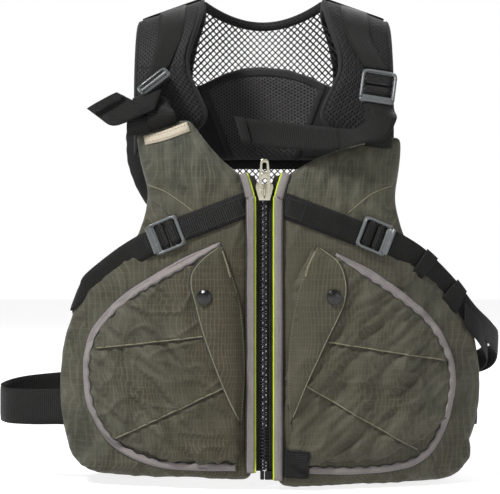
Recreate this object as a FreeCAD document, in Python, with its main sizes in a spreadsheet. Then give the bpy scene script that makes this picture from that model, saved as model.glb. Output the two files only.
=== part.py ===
"""Paddling life jacket, zipped up and standing on its hem: a FreeCAD 1.1 macro.

Row frame, millimetres: +Z up, -Y the wearer's front, X = 0 on the zip, Z = 0 under the hem.
"left" and "right" are the wearer's, so the wearer's left is at +X.

The front is two foam panels bent to one upright cylinder and joined by a moulded zip. The back
has foam over the shoulder blades and an open net below, so that it clears a high seat back.
Padded shoulders arch from the back, and webbing ties them and the sides to the front panels.
"""

import FreeCAD, Part

import math
import os

from FreeCAD import Placement, Rotation, Vector

RIGHT, LEFT = "right", "left"
SIDES = ((RIGHT, -1), (LEFT, 1))

# Alias, value in mm (or degrees where said), meaning.
DIMENSIONS = (
    ("plan_radius", 420, "outer radius of the front and the back, seen from above"),
    ("front_reach", 118, "how far the front's face lies ahead of the middle"),
    ("back_reach", 112, "how far the back's face lies behind the middle"),
    ("front_thickness", 36, "a front panel from its face to its lining"),
    ("back_thickness", 27, "the padded upper back"),
    ("wing_thickness", 11, "the lightly padded sides of the lower back"),
    ("cloth", 1.5, "a cover or lining with its seam allowance"),
    ("panel_inner", 11, "from the zip's middle to a front panel's edge"),
    ("left_fullness", 1.07, "width of the left front over that of the right"),
    ("right_hem", 8, "height of the right front's hem"),
    ("left_hem", 0, "height of the left front's hem"),
    ("pouch_thickness", 8, "a flat, empty pocket on a front panel"),
    ("flap_thickness", 1.7, "a pocket's closing flap"),
    ("trim_thickness", 1, "reflective and binding tapes"),
    ("placket_width", 8, "tape beside the zip"),
    ("piping_width", 1.4, "cord piping beside the zip"),
    ("binding_width", 8, "tape round a pocket"),
    ("strap_width", 29, "shoulder webbing"),
    ("chest_width", 26, "chest and side webbing"),
    ("belt_width", 38, "waist webbing"),
    ("strap_thickness", 1.8, "webbing"),
    ("zip_depth", 111, "how far ahead of the middle the zip's tape lies"),
    ("zip_bottom", 20, "height of the first tooth"),
    ("zip_top", 303, "height of the last tooth"),
    ("tooth_pitch", 3.5, "from one tooth of a side to the next"),
    ("tooth_height", 1.5, "one moulded tooth, along the zip"),
    ("tooth_depth", 4.6, "one moulded tooth, front to back"),
    ("tooth_root", 4.2, "how far a tooth reaches over its own tape"),
    ("tooth_tip", 1.5, "how far a tooth reaches past the zip's middle"),
    ("tape_thickness", 0.9, "the zip's woven tape"),
    ("slider_height", 18.5, "the zip's slider"),
    ("slider_plate", 1.5, "one plate of the slider"),
    ("slider_gap", 5.6, "between the slider's plates, where the teeth run"),
    ("slider_rest", 300, "height of the slider's lower end when the zip is shut"),
    ("pull_length", 33, "the zip's pull"),
    ("pull_width", 12.4, "the zip's pull at its widest"),
    ("pull_thickness", 2, "the zip's pull"),
    ("snap_radius", 7.7, "the domed cap of a press stud"),
    ("snap_dome", 2.6, "height of the cap's dome"),
    ("stud_radius", 3.4, "the press stud's post"),
    ("buckle_length", 40, "a shoulder buckle along its strap"),
    ("buckle_height", 37, "a shoulder buckle across its strap"),
    ("chest_buckle_length", 35, "a chest buckle along its strap"),
    ("chest_buckle_height", 33, "a chest buckle across its strap"),
    ("buckle_thickness", 5, "a ladder buckle"),
    ("buckle_rim", 3.4, "the rim above and below the buckle's window"),
    ("buckle_bar", 4, "the fixed bar, and the middle bar"),
    ("buckle_lip", 9, "the wide lip that is lifted to let the strap slip"),
    ("pad_thickness", 12, "a shoulder pad"),
    ("pad_width", 78, "a shoulder pad, from the neck outwards"),
    ("pad_neck", 60, "from the middle to a shoulder pad's inner edge"),
    ("pad_drop", 25, "fall of a shoulder from the neck outwards"),
    ("shoulder_top", 523, "the shoulder pad's middle surface at the neck"),
    ("net_thickness", 1.6, "knotted net"),
    ("hem_band", 38, "height of the band round the back's hem"),
)


def make_sheet(doc):
    """The spreadsheet that drives every size."""
    sheet = doc.addObject("Spreadsheet::Sheet", "Dimensions")
    for row, (alias, value, meaning) in enumerate(DIMENSIONS, start=1):
        sheet.set(f"A{row}", meaning)
        sheet.set(f"B{row}", str(value))
        sheet.setAlias(f"B{row}", alias)
    doc.recompute()
    return sheet


DOC = FreeCAD.newDocument("life_jacket")
SHEET = make_sheet(DOC)
PARTS = []


def mm(alias):
    """A driving dimension, read from the spreadsheet."""
    return float(SHEET.get(alias))


def fullness(side):
    return mm("left_fullness") if side == LEFT else 1.0


def keep(feature, label):
    """Marks a feature as one sub-part: its label is its file's name."""
    feature.Label = label
    PARTS.append(feature)
    return feature


def solid_part(label, shape, placement=None):
    """A sub-part whose shape comes straight from Part's functions."""
    feature = DOC.addObject("Part::Feature", label)
    feature.Shape = shape
    if placement is not None:
        feature.Placement = placement
    return keep(feature, label)


# --- Outlines, seen from the front ------------------------------------------------------------

def stretch_edge(points):
    """A straight edge through two points, an arc through three, or a smooth edge through more."""
    if len(points) == 2:
        return Part.LineSegment(*points).toShape()
    if len(points) == 3:
        return Part.Arc(*points).toShape()
    curve = Part.BSplineCurve()
    curve.interpolate(points)
    return curve.toShape()


def shrunk(stretches, distance):
    """The same closed outline, drawn in all round: each point moves along its corner's mitre."""
    loop = [point for stretch in stretches for point in stretch[:-1]]
    following = loop[1:] + loop[:1]
    turn = sum(x0 * z1 - x1 * z0 for (x0, z0), (x1, z1) in zip(loop, following))
    inward = distance if turn > 0 else -distance
    moved = []
    for before, here, after in zip(loop[-1:] + loop[:-1], loop, following):
        ways = []
        for start, end in ((before, here), (here, after)):
            dx, dz = end[0] - start[0], end[1] - start[1]
            size = math.hypot(dx, dz)
            ways.append((-dz / size, dx / size))
        (ax, az), (bx, bz) = ways
        share = inward / (1 + ax * bx + az * bz)
        moved.append((here[0] + (ax + bx) * share, here[1] + (az + bz) * share))
    moved.append(moved[0])
    result, first = [], 0
    for stretch in stretches:
        last = first + len(stretch) - 1
        result.append(moved[first:last + 1])
        first = last
    return result


def outline_face(stretches, warp=lambda x, z: (x, z), inset=0.0):
    """A flat face at Y = 0. Each stretch is a list of (x, z) that starts where the last ended."""
    placed = [[warp(x, z) for x, z in stretch] for stretch in stretches]
    if inset:
        placed = shrunk(placed, inset)
    edges = [stretch_edge([Vector(x, 0, z) for x, z in stretch]) for stretch in placed]
    return Part.Face(Part.Wire(edges))


def prism(face, near, far):
    """The flat face, drawn out from Y = near to Y = far."""
    moved = face.copy()
    moved.translate(Vector(0, near, 0))
    return moved.extrude(Vector(0, far - near, 0))


def cylinder_wall(centre_y, outer, inner):
    """An upright round wall, taller than the jacket."""
    low, tall = -20, 600
    foot = Vector(0, centre_y, low)
    return Part.makeCylinder(outer, tall, foot).cut(Part.makeCylinder(inner, tall, foot))


def front_layer(face, over, under):
    """The outline bent to the front. over and under are heights above the front's face."""
    radius = mm("plan_radius")
    wall = cylinder_wall(radius - mm("front_reach"), radius + over, radius + under)
    return prism(face, -160, 20).common(wall)


def back_layer(face, over, under):
    """The outline bent to the back. over and under are heights above the back's face."""
    radius = mm("plan_radius")
    wall = cylinder_wall(mm("back_reach") - radius, radius + over, radius + under)
    return prism(face, 10, 160).common(wall)


def front_y(x, over=0.0):
    """Y of the front's face at x, or of a surface that lies over it."""
    radius = mm("plan_radius")
    return radius - mm("front_reach") - math.sqrt((radius + over) ** 2 - x * x)


def back_y(x, over=0.0):
    radius = mm("plan_radius")
    return mm("back_reach") - radius + math.sqrt((radius + over) ** 2 - x * x)


# --- Front panels --------------------------------------------------------------------------------

NECK = {RIGHT: [(40, 345), (56, 363), (77, 390)], LEFT: [(40, 342), (57, 350), (78, 359)]}


ARMHOLE = {RIGHT: [(126, 340), (123, 312), (128, 282), (148, 246), (180, 216)],
           LEFT: [(131, 340), (129.5, 314), (134, 282), (149, 247), (180, 217)]}


def panel_stretches(side, hem):
    """One front's outline: zip edge, neck, shoulder, armhole, side, corner, hem."""
    inner, neck = mm("panel_inner"), NECK[side]
    split = inner + 9
    return (
        [(inner, hem), (inner, 288)],
        [(inner, 288), (inner + 2.5, 305), (split, 328)],
        [(split, 328), *neck],
        [neck[-1], (130, 373)],
        [(130, 373), *ARMHOLE[side], (201, 188)],
        [(201, 188), (212, 150), (216, 108), (214, 70), (207, 42)],
        [(207, 42), (197, hem + 13), (180, hem + 3), (158, hem)],
        [(158, hem), (inner, hem)],
    )


def side_warp(side, sign):
    """Mirrors an outline for its side, and widens it outwards from the zip edge."""
    inner, wide = mm("panel_inner"), fullness(side)

    def warp(x, z):
        return sign * (x if x <= inner else inner + (x - inner) * wide), z

    return warp


def front_panel(side, sign):
    """Cover with its gusset, foam core and lining."""
    thick, cloth = mm("front_thickness"), mm("cloth")
    stretches, warp = panel_stretches(side, mm(side + "_hem")), side_warp(side, sign)
    face = outline_face(stretches, warp)
    core = outline_face(stretches, warp, cloth)
    shell = front_layer(face, 0, cloth - thick)
    solid_part(side + "_front_cover", shell.cut(front_layer(core, -cloth, -thick - 1)))
    solid_part(side + "_front_foam", front_layer(core, -cloth, cloth - thick))
    solid_part(side + "_front_lining", front_layer(face, cloth - thick, -thick))


def strip_stretches(near, far, top_near, top_far, foot):
    """A narrow strip up the zip's edge that leans out at the collar."""
    return (
        [(near, foot), (near, 288)],
        [(near, 288), (near + 2.5, 305), (top_near, 326)],
        [(top_near, 326), (top_far, 328)],
        [(top_far, 328), (far + 2.5, 305), (far, 288)],
        [(far, 288), (far, foot)],
        [(far, foot), (near, foot)],
    )


def placket(side, sign):
    """Grey tape and lime piping down the edge of a front."""
    foot = mm(side + "_hem") + 10
    wide, cord = mm("placket_width"), mm("piping_width")
    near = mm("panel_inner") - 0.4
    tape = strip_stretches(near, near + wide, near + 7.5, near + 7.5 + wide, foot)
    warp = lambda x, z: (sign * x, z)
    over = 0.3 + mm("trim_thickness")
    solid_part(side + "_placket_tape", front_layer(outline_face(tape, warp), over, 0.3))
    piping = strip_stretches(near - cord, near, near + 7.5 - cord, near + 7.5, foot)
    solid_part(side + "_placket_piping", front_layer(outline_face(piping, warp), over, -1.2))


def reflective_tape():
    """Pale tape across the top of the right front, under the shoulder strap."""
    band = ([(80, 386), (129, 370)], [(129, 370), (127, 356)], [(127, 356), (72, 373)],
            [(72, 373), (80, 386)])
    face = outline_face(band, side_warp(RIGHT, -1))
    over = 0.3 + mm("trim_thickness")
    solid_part("right_reflective_tape", front_layer(face, over, 0.3))


POCKET_SEAM = [(46, 255), (31, 214), (23, 150), (23, 92), (28, 28)]
POCKET_FOOT = [(28, 28), (60, 27), (104, 29), (140, 40), (173, 64), (187, 104)]
POCKET_HEAD = [(187, 104), (183, 146), (158, 186), (120, 218), (84, 237), (46, 255)]
FLAP_HINGE = ((46, 255), (26, 67))
FLAP_EDGE = [(26, 67), (44, 108), (63, 157), (75, 205), (73, 228), (46, 255)]
SNAP_AT = (63, 200)


def pocket(side, sign):
    """Flat pouch with its grey binding, and the flap that closes it."""
    warp = side_warp(side, sign)
    thick = mm("pouch_thickness")
    outline = (POCKET_SEAM, POCKET_FOOT, POCKET_HEAD)
    face = outline_face(outline, warp)
    pouch = front_layer(face, thick, 0.2)
    solid_part(side + "_pocket", pouch)
    ring = face.cut(outline_face(outline, warp, mm("binding_width")))
    beyond = Part.makeBox(150, 60, 300, Vector(0, -30, 0))
    start = 64 if sign > 0 else -64 - 150
    beyond.translate(Vector(start, 0, 0))
    over = thick + 0.2 + mm("trim_thickness")
    band = front_layer(ring, over, thick + 0.2)
    reach = Part.makeBox(200, 300, 300, Vector(start if sign > 0 else -264, -200, 0))
    solid_part(side + "_pocket_binding", band.common(reach))

    hole = snap_cylinder(side, sign, mm("stud_radius") + 0.6, 0, thick + 4)
    leaf = outline_face((list(FLAP_HINGE), FLAP_EDGE), warp)
    under = over + 0.3
    flap = front_layer(leaf, under + mm("flap_thickness"), under)
    solid_part(side + "_pocket_flap", flap.cut(hole))


def snap_frame(side, sign):
    """Placement at a snap, with its own +Z pointing out of the front's face."""
    x = side_warp(side, sign)(*SNAP_AT)[0]
    lean = math.degrees(math.asin(x / mm("plan_radius")))
    turn = Rotation(Vector(0, 0, 1), lean).multiply(Rotation(Vector(1, 0, 0), 90))
    return Placement(Vector(x, front_y(x), SNAP_AT[1]), turn)


def snap_cylinder(side, sign, radius, low, high):
    """A round solid on the snap's axis, between two heights above the front's face."""
    post = Part.makeCylinder(radius, high - low, Vector(0, 0, low))
    post.Placement = snap_frame(side, sign)
    return post


# --- Bodies made with PartDesign ---------------------------------------------------------------

def origin_plane(body, role):
    return next(f for f in body.Origin.OriginFeatures if f.Role == role)


def new_sketch(body, name, role, points, offset=0.0):
    """A closed sketch through the points, or through lines and circles as they come."""
    sketch = body.newObject("Sketcher::SketchObject", name)
    sketch.AttachmentSupport = [(origin_plane(body, role), "")]
    sketch.MapMode = "FlatFace"
    sketch.AttachmentOffset = Placement(Vector(0, 0, offset), Rotation())
    for start, end in zip(points, points[1:] + points[:1]):
        sketch.addGeometry(Part.LineSegment(Vector(*start, 0), Vector(*end, 0)), False)
    return sketch


def pad(body, name, points, length, offset=0.0, role="XZ_Plane"):
    """Material from a sketch. On the XZ plane it grows towards -Y."""
    feature = body.newObject("PartDesign::Pad", name)
    feature.Profile = new_sketch(body, name + "_sketch", role, points, offset)
    feature.setExpression("Length", length)
    DOC.recompute()
    return feature


def pocket_through(body, name, points, role="XZ_Plane"):
    """A hole right through, cut both ways from the sketch's plane."""
    before = body.Shape.Volume
    feature = body.newObject("PartDesign::Pocket", name)
    feature.Profile = new_sketch(body, name + "_sketch", role, points)
    feature.Type = 1
    feature.Midplane = True
    DOC.recompute()
    assert body.Shape.Volume < before, name + " cut nothing"
    return feature


def box_points(x0, z0, x1, z1):
    return [(x0, z0), (x1, z0), (x1, z1), (x0, z1)]


def snap(side, sign):
    """Press stud: domed cap with its socket on the flap, and a post on the pocket."""
    frame = snap_frame(side, sign)
    stack = mm("pouch_thickness") + 0.2 + mm("trim_thickness") + 0.3 + mm("flap_thickness")
    rim, dome, edge = mm("snap_radius"), mm("snap_dome"), 0.8
    ball_radius = (rim ** 2 + (dome - edge) ** 2) / (2 * (dome - edge))
    disc = DOC.addObject("Part::Cylinder", side + "_snap_disc")
    disc.setExpression("Radius", "Dimensions.snap_radius")
    disc.setExpression("Height", "Dimensions.snap_dome")
    ball = DOC.addObject("Part::Sphere", side + "_snap_ball")
    ball.Radius = ball_radius
    ball.Placement.Base.z = dome - ball_radius
    cap = DOC.addObject("Part::MultiCommon", side + "_snap_cap")
    cap.Shapes = [disc, ball]
    # The lip of the dome stands just clear of the flap's bent face.
    cap.Placement = frame.multiply(Placement(Vector(0, 0, stack + 0.1), Rotation()))
    keep(cap, side + "_snap_cap")

    post = DOC.addObject("Part::Cylinder", side + "_snap_post")
    post.setExpression("Radius", "Dimensions.stud_radius")
    lift = mm("pouch_thickness") + 0.1
    post.Height = stack - lift - 0.1
    post.Placement = frame.multiply(Placement(Vector(0, 0, lift), Rotation()))
    keep(post, side + "_snap_post")


# --- Zip ---------------------------------------------------------------------------------------

def zip_half(side, sign):
    """Woven tape and its row of moulded teeth."""
    thin, depth = mm("tape_thickness"), mm("zip_depth")
    near, far = mm("tooth_root") + 0.1, mm("panel_inner") - 0.2
    foot = mm("zip_bottom") - 0.6
    tape = (
        [(near, foot), (near, mm("zip_top"))],
        [(near, mm("zip_top")), (near + 2.4, 312), (12.5, 326)],
        [(12.5, 326), (far + 8.6, 327)],
        [(far + 8.6, 327), (far + 2.6, 306), (far, 288)],
        [(far, 288), (far, foot)],
        [(far, foot), (near, foot)],
    )
    face = outline_face(tape, lambda x, z: (sign * x, z))
    solid_part(side + "_zip_tape", prism(face, -depth - thin / 2, -depth + thin / 2))

    pitch, tall = mm("tooth_pitch"), mm("tooth_height")
    first = mm("zip_bottom") + (pitch / 2 if side == LEFT else 0)
    count = int((mm("zip_top") - first - tall) / pitch) + 1
    deep, root, tip = mm("tooth_depth"), mm("tooth_root"), mm("tooth_tip")
    teeth = []
    for i in range(count):
        corner = Vector(-tip if sign > 0 else -root, -depth - deep / 2, first + i * pitch)
        teeth.append(Part.makeBox(root + tip, deep, tall, corner))
    solid_part(side + "_zip_teeth", Part.makeCompound(teeth))


def zip_ends():
    """Retaining box on the left tape, and the pin on the right one that drops into it."""
    depth = mm("zip_depth")
    box = DOC.addObject("Part::Box", "zip_box")
    box.Length, box.Width, box.Height = 9.5, 5.6, 9
    box.Placement = Placement(Vector(0.3, -depth - 2.8, 10), Rotation())
    keep(box, "zip_box")
    pin = DOC.addObject("Part::Box", "zip_pin")
    pin.Length, pin.Width, pin.Height = 4.2, 3.6, 9
    pin.Placement = Placement(Vector(-4.4, -depth - 1.8, 10), Rotation())
    keep(pin, "zip_pin")


def zip_slider():
    """Shield-shaped slider: two plates on a wedge that parts the teeth, and a crown."""
    body = DOC.addObject("PartDesign::Body", "zip_slider")
    gap, plate, tall = mm("slider_gap"), mm("slider_plate"), mm("slider_height")
    shield = [(-6.2, 0), (6.2, 0), (9.3, tall * 0.8), (6.8, tall), (-6.8, tall),
              (-9.3, tall * 0.8)]
    wedge = [(0, 7.5), (3.6, tall - 1.5), (-3.6, tall - 1.5)]
    pad(body, "front_plate", shield, "Dimensions.slider_plate", gap / 2)
    pad(body, "wedge", wedge, "Dimensions.slider_gap + 0.2", -gap / 2 - 0.1)
    pad(body, "back_plate", shield, "Dimensions.slider_plate", -gap / 2 - plate)
    crown = box_points(-2.4, 3.5, 2.4, 6.5)
    pad(body, "crown_foot", crown, "4.4", gap / 2 + plate - 0.2)
    pad(body, "crown_head", box_points(-2.4, 12.5, 2.4, 15.5), "4.4", gap / 2 + plate - 0.2)
    pad(body, "crown_roof", box_points(-2.4, 3.5, 2.4, 15.5), "1.4", gap / 2 + plate + 3)
    body.Placement = Placement(Vector(0, -mm("zip_depth"), mm("slider_rest")), Rotation())
    keep(body, "zip_slider")


PULL_PIVOT = 9.5
PULL_AHEAD = 5.8


def zip_pull():
    """Tapered pull that straddles the crown and stands up from it."""
    body = DOC.addObject("PartDesign::Body", "zip_pull")
    half, long = mm("pull_width") / 2, mm("pull_length")
    shape = [(-half + 0.6, -0.8), (half - 0.6, -0.8), (half, 12), (half - 1.7, long - 2),
             (half - 3, long), (-half + 3, long), (-half + 1.7, long - 2), (-half, 12)]
    pad(body, "pull_plate", shape, "Dimensions.pull_thickness", -mm("pull_thickness") / 2)
    pocket_through(body, "fork", box_points(-2.9, -3, 2.9, 9.5))
    pocket_through(body, "grip_window", box_points(-2.6, 24, 2.6, 29))
    pin = box_points(-3.4, -1.0, 3.4, 1.0)
    pad(body, "pull_pin", pin, "1.6", -0.8)
    pivot = Vector(0, -mm("zip_depth") - PULL_AHEAD, mm("slider_rest") + PULL_PIVOT)
    body.Placement = Placement(pivot, Rotation())
    keep(body, "zip_pull")


# --- Webbing -----------------------------------------------------------------------------------

def ribbon(stations, thickness):
    """Webbing through stations, each (one edge, other edge, direction of its thickness)."""
    rings = []
    for one, other, out in stations:
        half = Vector(out).normalize() * (thickness / 2)
        rings.append([one - half, other - half, other + half, one + half])
    faces = [Part.Face(Part.makePolygon(ring + ring[:1])) for ring in (rings[0], rings[-1])]
    for near, far in zip(rings, rings[1:]):
        for i in range(4):
            lines = [Part.makeLine(ring[i], ring[(i + 1) % 4]) for ring in (near, far)]
            faces.append(Part.makeRuledSurface(*lines))
    shell = Part.makeShell(faces)
    shell.sewShape()
    strip = Part.makeSolid(shell)
    if strip.Volume < 0:
        strip.reverse()
    return strip


def surface_station(x, z, slope, width, over, wall_y=front_y):
    """Both edges of a strap that lies on the front and runs down outwards at slope degrees."""
    sign = 1 if x > 0 else -1
    rise = math.radians(slope)
    across = (sign * math.sin(rise) * width / 2, math.cos(rise) * width / 2)
    ends = []
    for way in (-1, 1):
        ex, ez = x + way * across[0], z + way * across[1]
        ends.append(Vector(ex, wall_y(ex, over), ez))
    out = Vector(x, wall_y(x) - mm("plan_radius") + mm("front_reach"), 0)
    return ends[0], ends[1], out


def upright_station(x, y, z, width, out):
    """A strap on edge, whose face looks along out."""
    half = Vector(0, 0, width / 2)
    return Vector(x, y, z) - half, Vector(x, y, z) + half, Vector(*out)


CHEST_SLOPE = 20
CHEST_INNER, CHEST_OUTER = (21, 294), (78, 272)
CHEST_BUCKLE = {RIGHT: (-102, 264), LEFT: (115, 263)}


def chest_strap(side, sign):
    """Webbing from the zip's tape out to the chest buckle."""
    width, over = mm("chest_width"), 2.0 + mm("strap_thickness") / 2
    reach = CHEST_BUCKLE[side][0] - sign * (mm("chest_buckle_length") / 2 + 2)
    stations = []
    for share in (0, 0.5, 1):
        x = sign * CHEST_INNER[0] + share * (reach - sign * CHEST_INNER[0])
        z = CHEST_INNER[1] - (abs(x) - CHEST_INNER[0]) * math.tan(math.radians(CHEST_SLOPE))
        stations.append(surface_station(x, z, CHEST_SLOPE, width, over))
    solid_part(side + "_chest_strap", ribbon(stations, mm("strap_thickness")))


# Centres of the side straps: over the front (x, z, slope), then free (x, y, z, outward x, y).
SIDE_STRAP = {
    RIGHT: (((-128, 251, 24), (-152, 238, 31), (-186, 214, 40)),
            ((-209, -68, 199, -0.7, -0.7), (-215, -34, 194, -1, -0.1), (-215, -2, 188, -1, 0),
             (-213, 30, 182, -1, 0.3), (-202, 60, 177, -0.75, 0.65))),
    LEFT: (((141, 252, 24), (164, 237, 34), (194, 208, 42)),
           ((226, -58, 176, 1, -0.6), (246, -34, 158, 1, -0.3), (258, -6, 143, 1, 0),
            (250, 30, 126, 0.9, 0.5), (213, 60, 115, 0.75, 0.65))),
}
WAIST_BELT = {
    RIGHT: ((-217, -52, 80, -0.6, -0.8), (-252, -42, 79, -0.3, -0.95), (-281, -24, 79, -0.8, -0.6),
            (-290, 6, 82, -1, 0.1), (-268, 40, 87, -0.5, 0.87), (-206, 66, 91, -0.3, 0.95)),
    LEFT: ((233, -50, 80, 0.9, -0.5), (235, -24, 80, 1, 0), (234, 2, 80, 1, 0.1),
           (228, 32, 80, 1, 0.4), (214, 62, 80, 0.8, 0.6)),
}


def side_webbing(side, sign):
    """Chest webbing round the side, and the slack or tight waist belt below it."""
    over = 2.2 + mm("strap_thickness") / 2
    on_front, free = SIDE_STRAP[side]
    width = mm("chest_width")
    stations = [surface_station(x, z, slope, width, over) for x, z, slope in on_front]
    stations += [upright_station(x, y, z, width, (ox, oy, 0)) for x, y, z, ox, oy in free]
    solid_part(side + "_side_strap", ribbon(stations, mm("strap_thickness")))
    belt = [upright_station(x, y, z, mm("belt_width"), (ox, oy, 0))
            for x, y, z, ox, oy in WAIST_BELT[side]]
    solid_part(side + "_waist_belt", ribbon(belt, mm("strap_thickness")))


def hem_tab():
    """Folded webbing tab sewn beside the foot of the zip, on the left."""
    face = outline_face(([(20, 16), (46, 14)], [(46, 14), (46, 39)], [(46, 39), (20, 42)],
                         [(20, 42), (20, 16)]))
    solid_part("hem_tab", front_layer(face, 11.8, 9.6))


# --- Buckles -------------------------------------------------------------------------------------

def ladder_buckle(name, kind):
    """Ladder buckle about its own middle: X along the strap with the lip at +X, Y its depth."""
    long, high = f"Dimensions.{kind}_length", f"Dimensions.{kind}_height"
    frame = DOC.addObject("Part::Box", name + "_frame")
    frame.setExpression("Length", long)
    frame.setExpression("Width", "Dimensions.buckle_thickness")
    frame.setExpression("Height", high)
    frame.setExpression("Placement.Base.x", "-" + long + " / 2")
    frame.setExpression("Placement.Base.y", "-Dimensions.buckle_thickness / 2")
    frame.setExpression("Placement.Base.z", "-" + high + " / 2")
    rounded = DOC.addObject("Part::Fillet", name + "_rounded")
    rounded.Base = frame
    DOC.recompute()
    upright = [i for i, edge in enumerate(frame.Shape.Edges, start=1)
               if abs(edge.tangentAt(edge.FirstParameter).y) > 0.9]
    rounded.Edges = [(i, 5.0, 5.0) for i in upright]

    window = DOC.addObject("Part::Box", name + "_window")
    window.setExpression("Length", long + " - Dimensions.buckle_bar - Dimensions.buckle_lip")
    window.setExpression("Width", "Dimensions.buckle_thickness + 2")
    window.setExpression("Height", high + " - 2 * Dimensions.buckle_rim")
    window.setExpression("Placement.Base.x", "-" + long + " / 2 + Dimensions.buckle_bar")
    window.setExpression("Placement.Base.y", "-Dimensions.buckle_thickness / 2 - 1")
    window.setExpression("Placement.Base.z", "-" + high + " / 2 + Dimensions.buckle_rim")
    open_frame = DOC.addObject("Part::Cut", name + "_open")
    open_frame.Base, open_frame.Tool = rounded, window

    bar = DOC.addObject("Part::Box", name + "_bar")
    bar.setExpression("Length", "Dimensions.buckle_bar")
    bar.Width = 2.4
    bar.setExpression("Height", high + " - Dimensions.buckle_rim")
    bar.setExpression("Placement.Base.x", "-Dimensions.buckle_bar")
    bar.Placement.Base.y = -0.2
    bar.setExpression("Placement.Base.z", "-(" + high + " - Dimensions.buckle_rim) / 2")
    whole = DOC.addObject("Part::Fuse", name)
    whole.Base, whole.Tool = open_frame, bar
    DOC.recompute()
    return whole


def threaded_web(name, placement):
    """The turn of webbing that passes over a buckle's middle bar."""
    half = mm("chest_width") / 2
    profile = [(-12.7, 0.6), (-10.5, -1.6), (-2, -2.2), (5.5, -1.6), (7.7, 0.6)]
    stations = []
    for i, (x, y) in enumerate(profile):
        before, after = profile[max(i - 1, 0)], profile[min(i + 1, len(profile) - 1)]
        out = Vector(after[1] - before[1], before[0] - after[0], 0)
        stations.append((Vector(x, y, -half), Vector(x, y, half), out))
    solid_part(name, ribbon(stations, 1.5), placement)


def chest_buckle_frame(side, sign):
    """Placement of a chest buckle, with its lip outwards."""
    x, z = CHEST_BUCKLE[side]
    lift = 2.6 + mm("buckle_thickness") / 2
    lean = math.degrees(math.asin(x / (mm("plan_radius") + lift)))
    turn = Rotation(Vector(0, 0, 1), lean)
    turn = turn.multiply(Rotation(Vector(0, 1, 0), sign * (CHEST_SLOPE + 2)))
    if sign < 0:
        turn = turn.multiply(Rotation(Vector(0, 1, 0), 180))
    return Placement(Vector(x, front_y(x, lift), z), turn)


def shoulder_buckle_frame(side, sign):
    """Placement of a shoulder buckle, with its lip down and its face forwards."""
    x, y, z, roll, pitch = SHOULDER_BUCKLE[side]
    turn = Rotation(Vector(0, 1, 0), roll).multiply(Rotation(Vector(1, 0, 0), pitch))
    turn = turn.multiply(Rotation(Vector(0, 1, 0), 90))
    return Placement(Vector(x, y, z), turn)


# Centre, roll about the line of sight and pitch forwards of each shoulder buckle.
SHOULDER_BUCKLE = {RIGHT: (-115, -74, 428, -30, -38), LEFT: (121, -74, 421, 9, -24)}


def buckles():
    for side, sign in SIDES:
        chest = ladder_buckle(side + "_chest_buckle", "chest_buckle")
        chest.Placement = chest_buckle_frame(side, sign)
        keep(chest, side + "_chest_buckle")
        threaded_web(side + "_chest_web", chest_buckle_frame(side, sign))
        shoulder = ladder_buckle(side + "_shoulder_buckle", "buckle")
        shoulder.Placement = shoulder_buckle_frame(side, sign)
        keep(shoulder, side + "_shoulder_buckle")


# --- Shoulders -----------------------------------------------------------------------------------

def arch_points():
    """Middle line of a shoulder pad at the neck: up from the back, over, and down in front."""
    top = mm("shoulder_top")
    return [(94, top - 73), (88, top - 40), (64, top - 12), (26, top), (-12, top - 16),
            (-36, top - 52), (-44, top - 96), (-44, top - 146)]


def arch_curve(offset=0.0, last=8):
    """The pad's middle line, or one parallel to it further out, in the plane X = 0."""
    line = Part.BSplineCurve()
    line.interpolate([Vector(0, y, z) for y, z in arch_points()])
    points = []
    for i in range(33):
        t = line.FirstParameter + (line.LastParameter - line.FirstParameter) * i / 32
        tangent = line.tangent(t)[0]
        out = Vector(0, -tangent.z, tangent.y) * -1
        if i <= last * 4:
            points.append(line.value(t) + out * offset)
    return points


def arch_strip(x, width, inner, outer, drop, last=8):
    """A strip of the arch between two heights above its middle line."""
    low, high = arch_curve(inner, last), arch_curve(outer, last)
    edges = []
    for points in (low, high[::-1]):
        curve = Part.BSplineCurve()
        curve.interpolate(points[::4] if len(points) > 8 else points)
        edges.append(curve.toShape())
    ends = [e.Vertexes for e in edges]
    edges.insert(1, Part.LineSegment(ends[0][1].Point, ends[1][0].Point).toShape())
    edges.append(Part.LineSegment(ends[1][1].Point, ends[0][0].Point).toShape())
    face = Part.Face(Part.Wire(edges))
    face.translate(Vector(x, 0, 0))
    return face.extrude(Vector(width, 0, drop))


def shoulder(side, sign):
    """Padded shoulder and the webbing sewn along it that carries the shoulder buckle."""
    thick, wide, drop = mm("pad_thickness"), mm("pad_width"), mm("pad_drop")
    pad_solid = arch_strip(sign * mm("pad_neck"), sign * wide, -thick / 2, thick / 2, -drop)
    solid_part(side + "_shoulder_pad", pad_solid)
    inset_x = mm("pad_neck") + 26
    web = mm("strap_width")
    low = thick / 2 + 0.3
    strip = arch_strip(sign * inset_x, sign * web, low, low + mm("strap_thickness"),
                       -drop * web / wide, last=5)
    strip.translate(Vector(0, 0, -drop * 26 / wide))
    middle = sign * (inset_x + web / 2)
    frame = shoulder_buckle_frame(side, sign)
    bar = frame.multVec(Vector(-mm("buckle_length") / 2 - 2, 0, 0))
    along = frame.Rotation.multVec(Vector(0, 0, web / 2)) * sign
    on_pad = Vector(middle, -46, mm("shoulder_top") - 66)
    half = Vector(sign * web / 2, 0, -drop * web / wide / 2)
    stations = [(on_pad - half + Vector(0, 5.4, 12), on_pad + half + Vector(0, 5.4, 12),
                 Vector(0, -0.9, 0.35)),
                (on_pad - half, on_pad + half, Vector(0, -1, 0.3)),
                (bar - along, bar + along, Vector(0, -1, -0.7))]
    solid_part(side + "_shoulder_webbing", strip.fuse(ribbon(stations, mm("strap_thickness"))))


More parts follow.
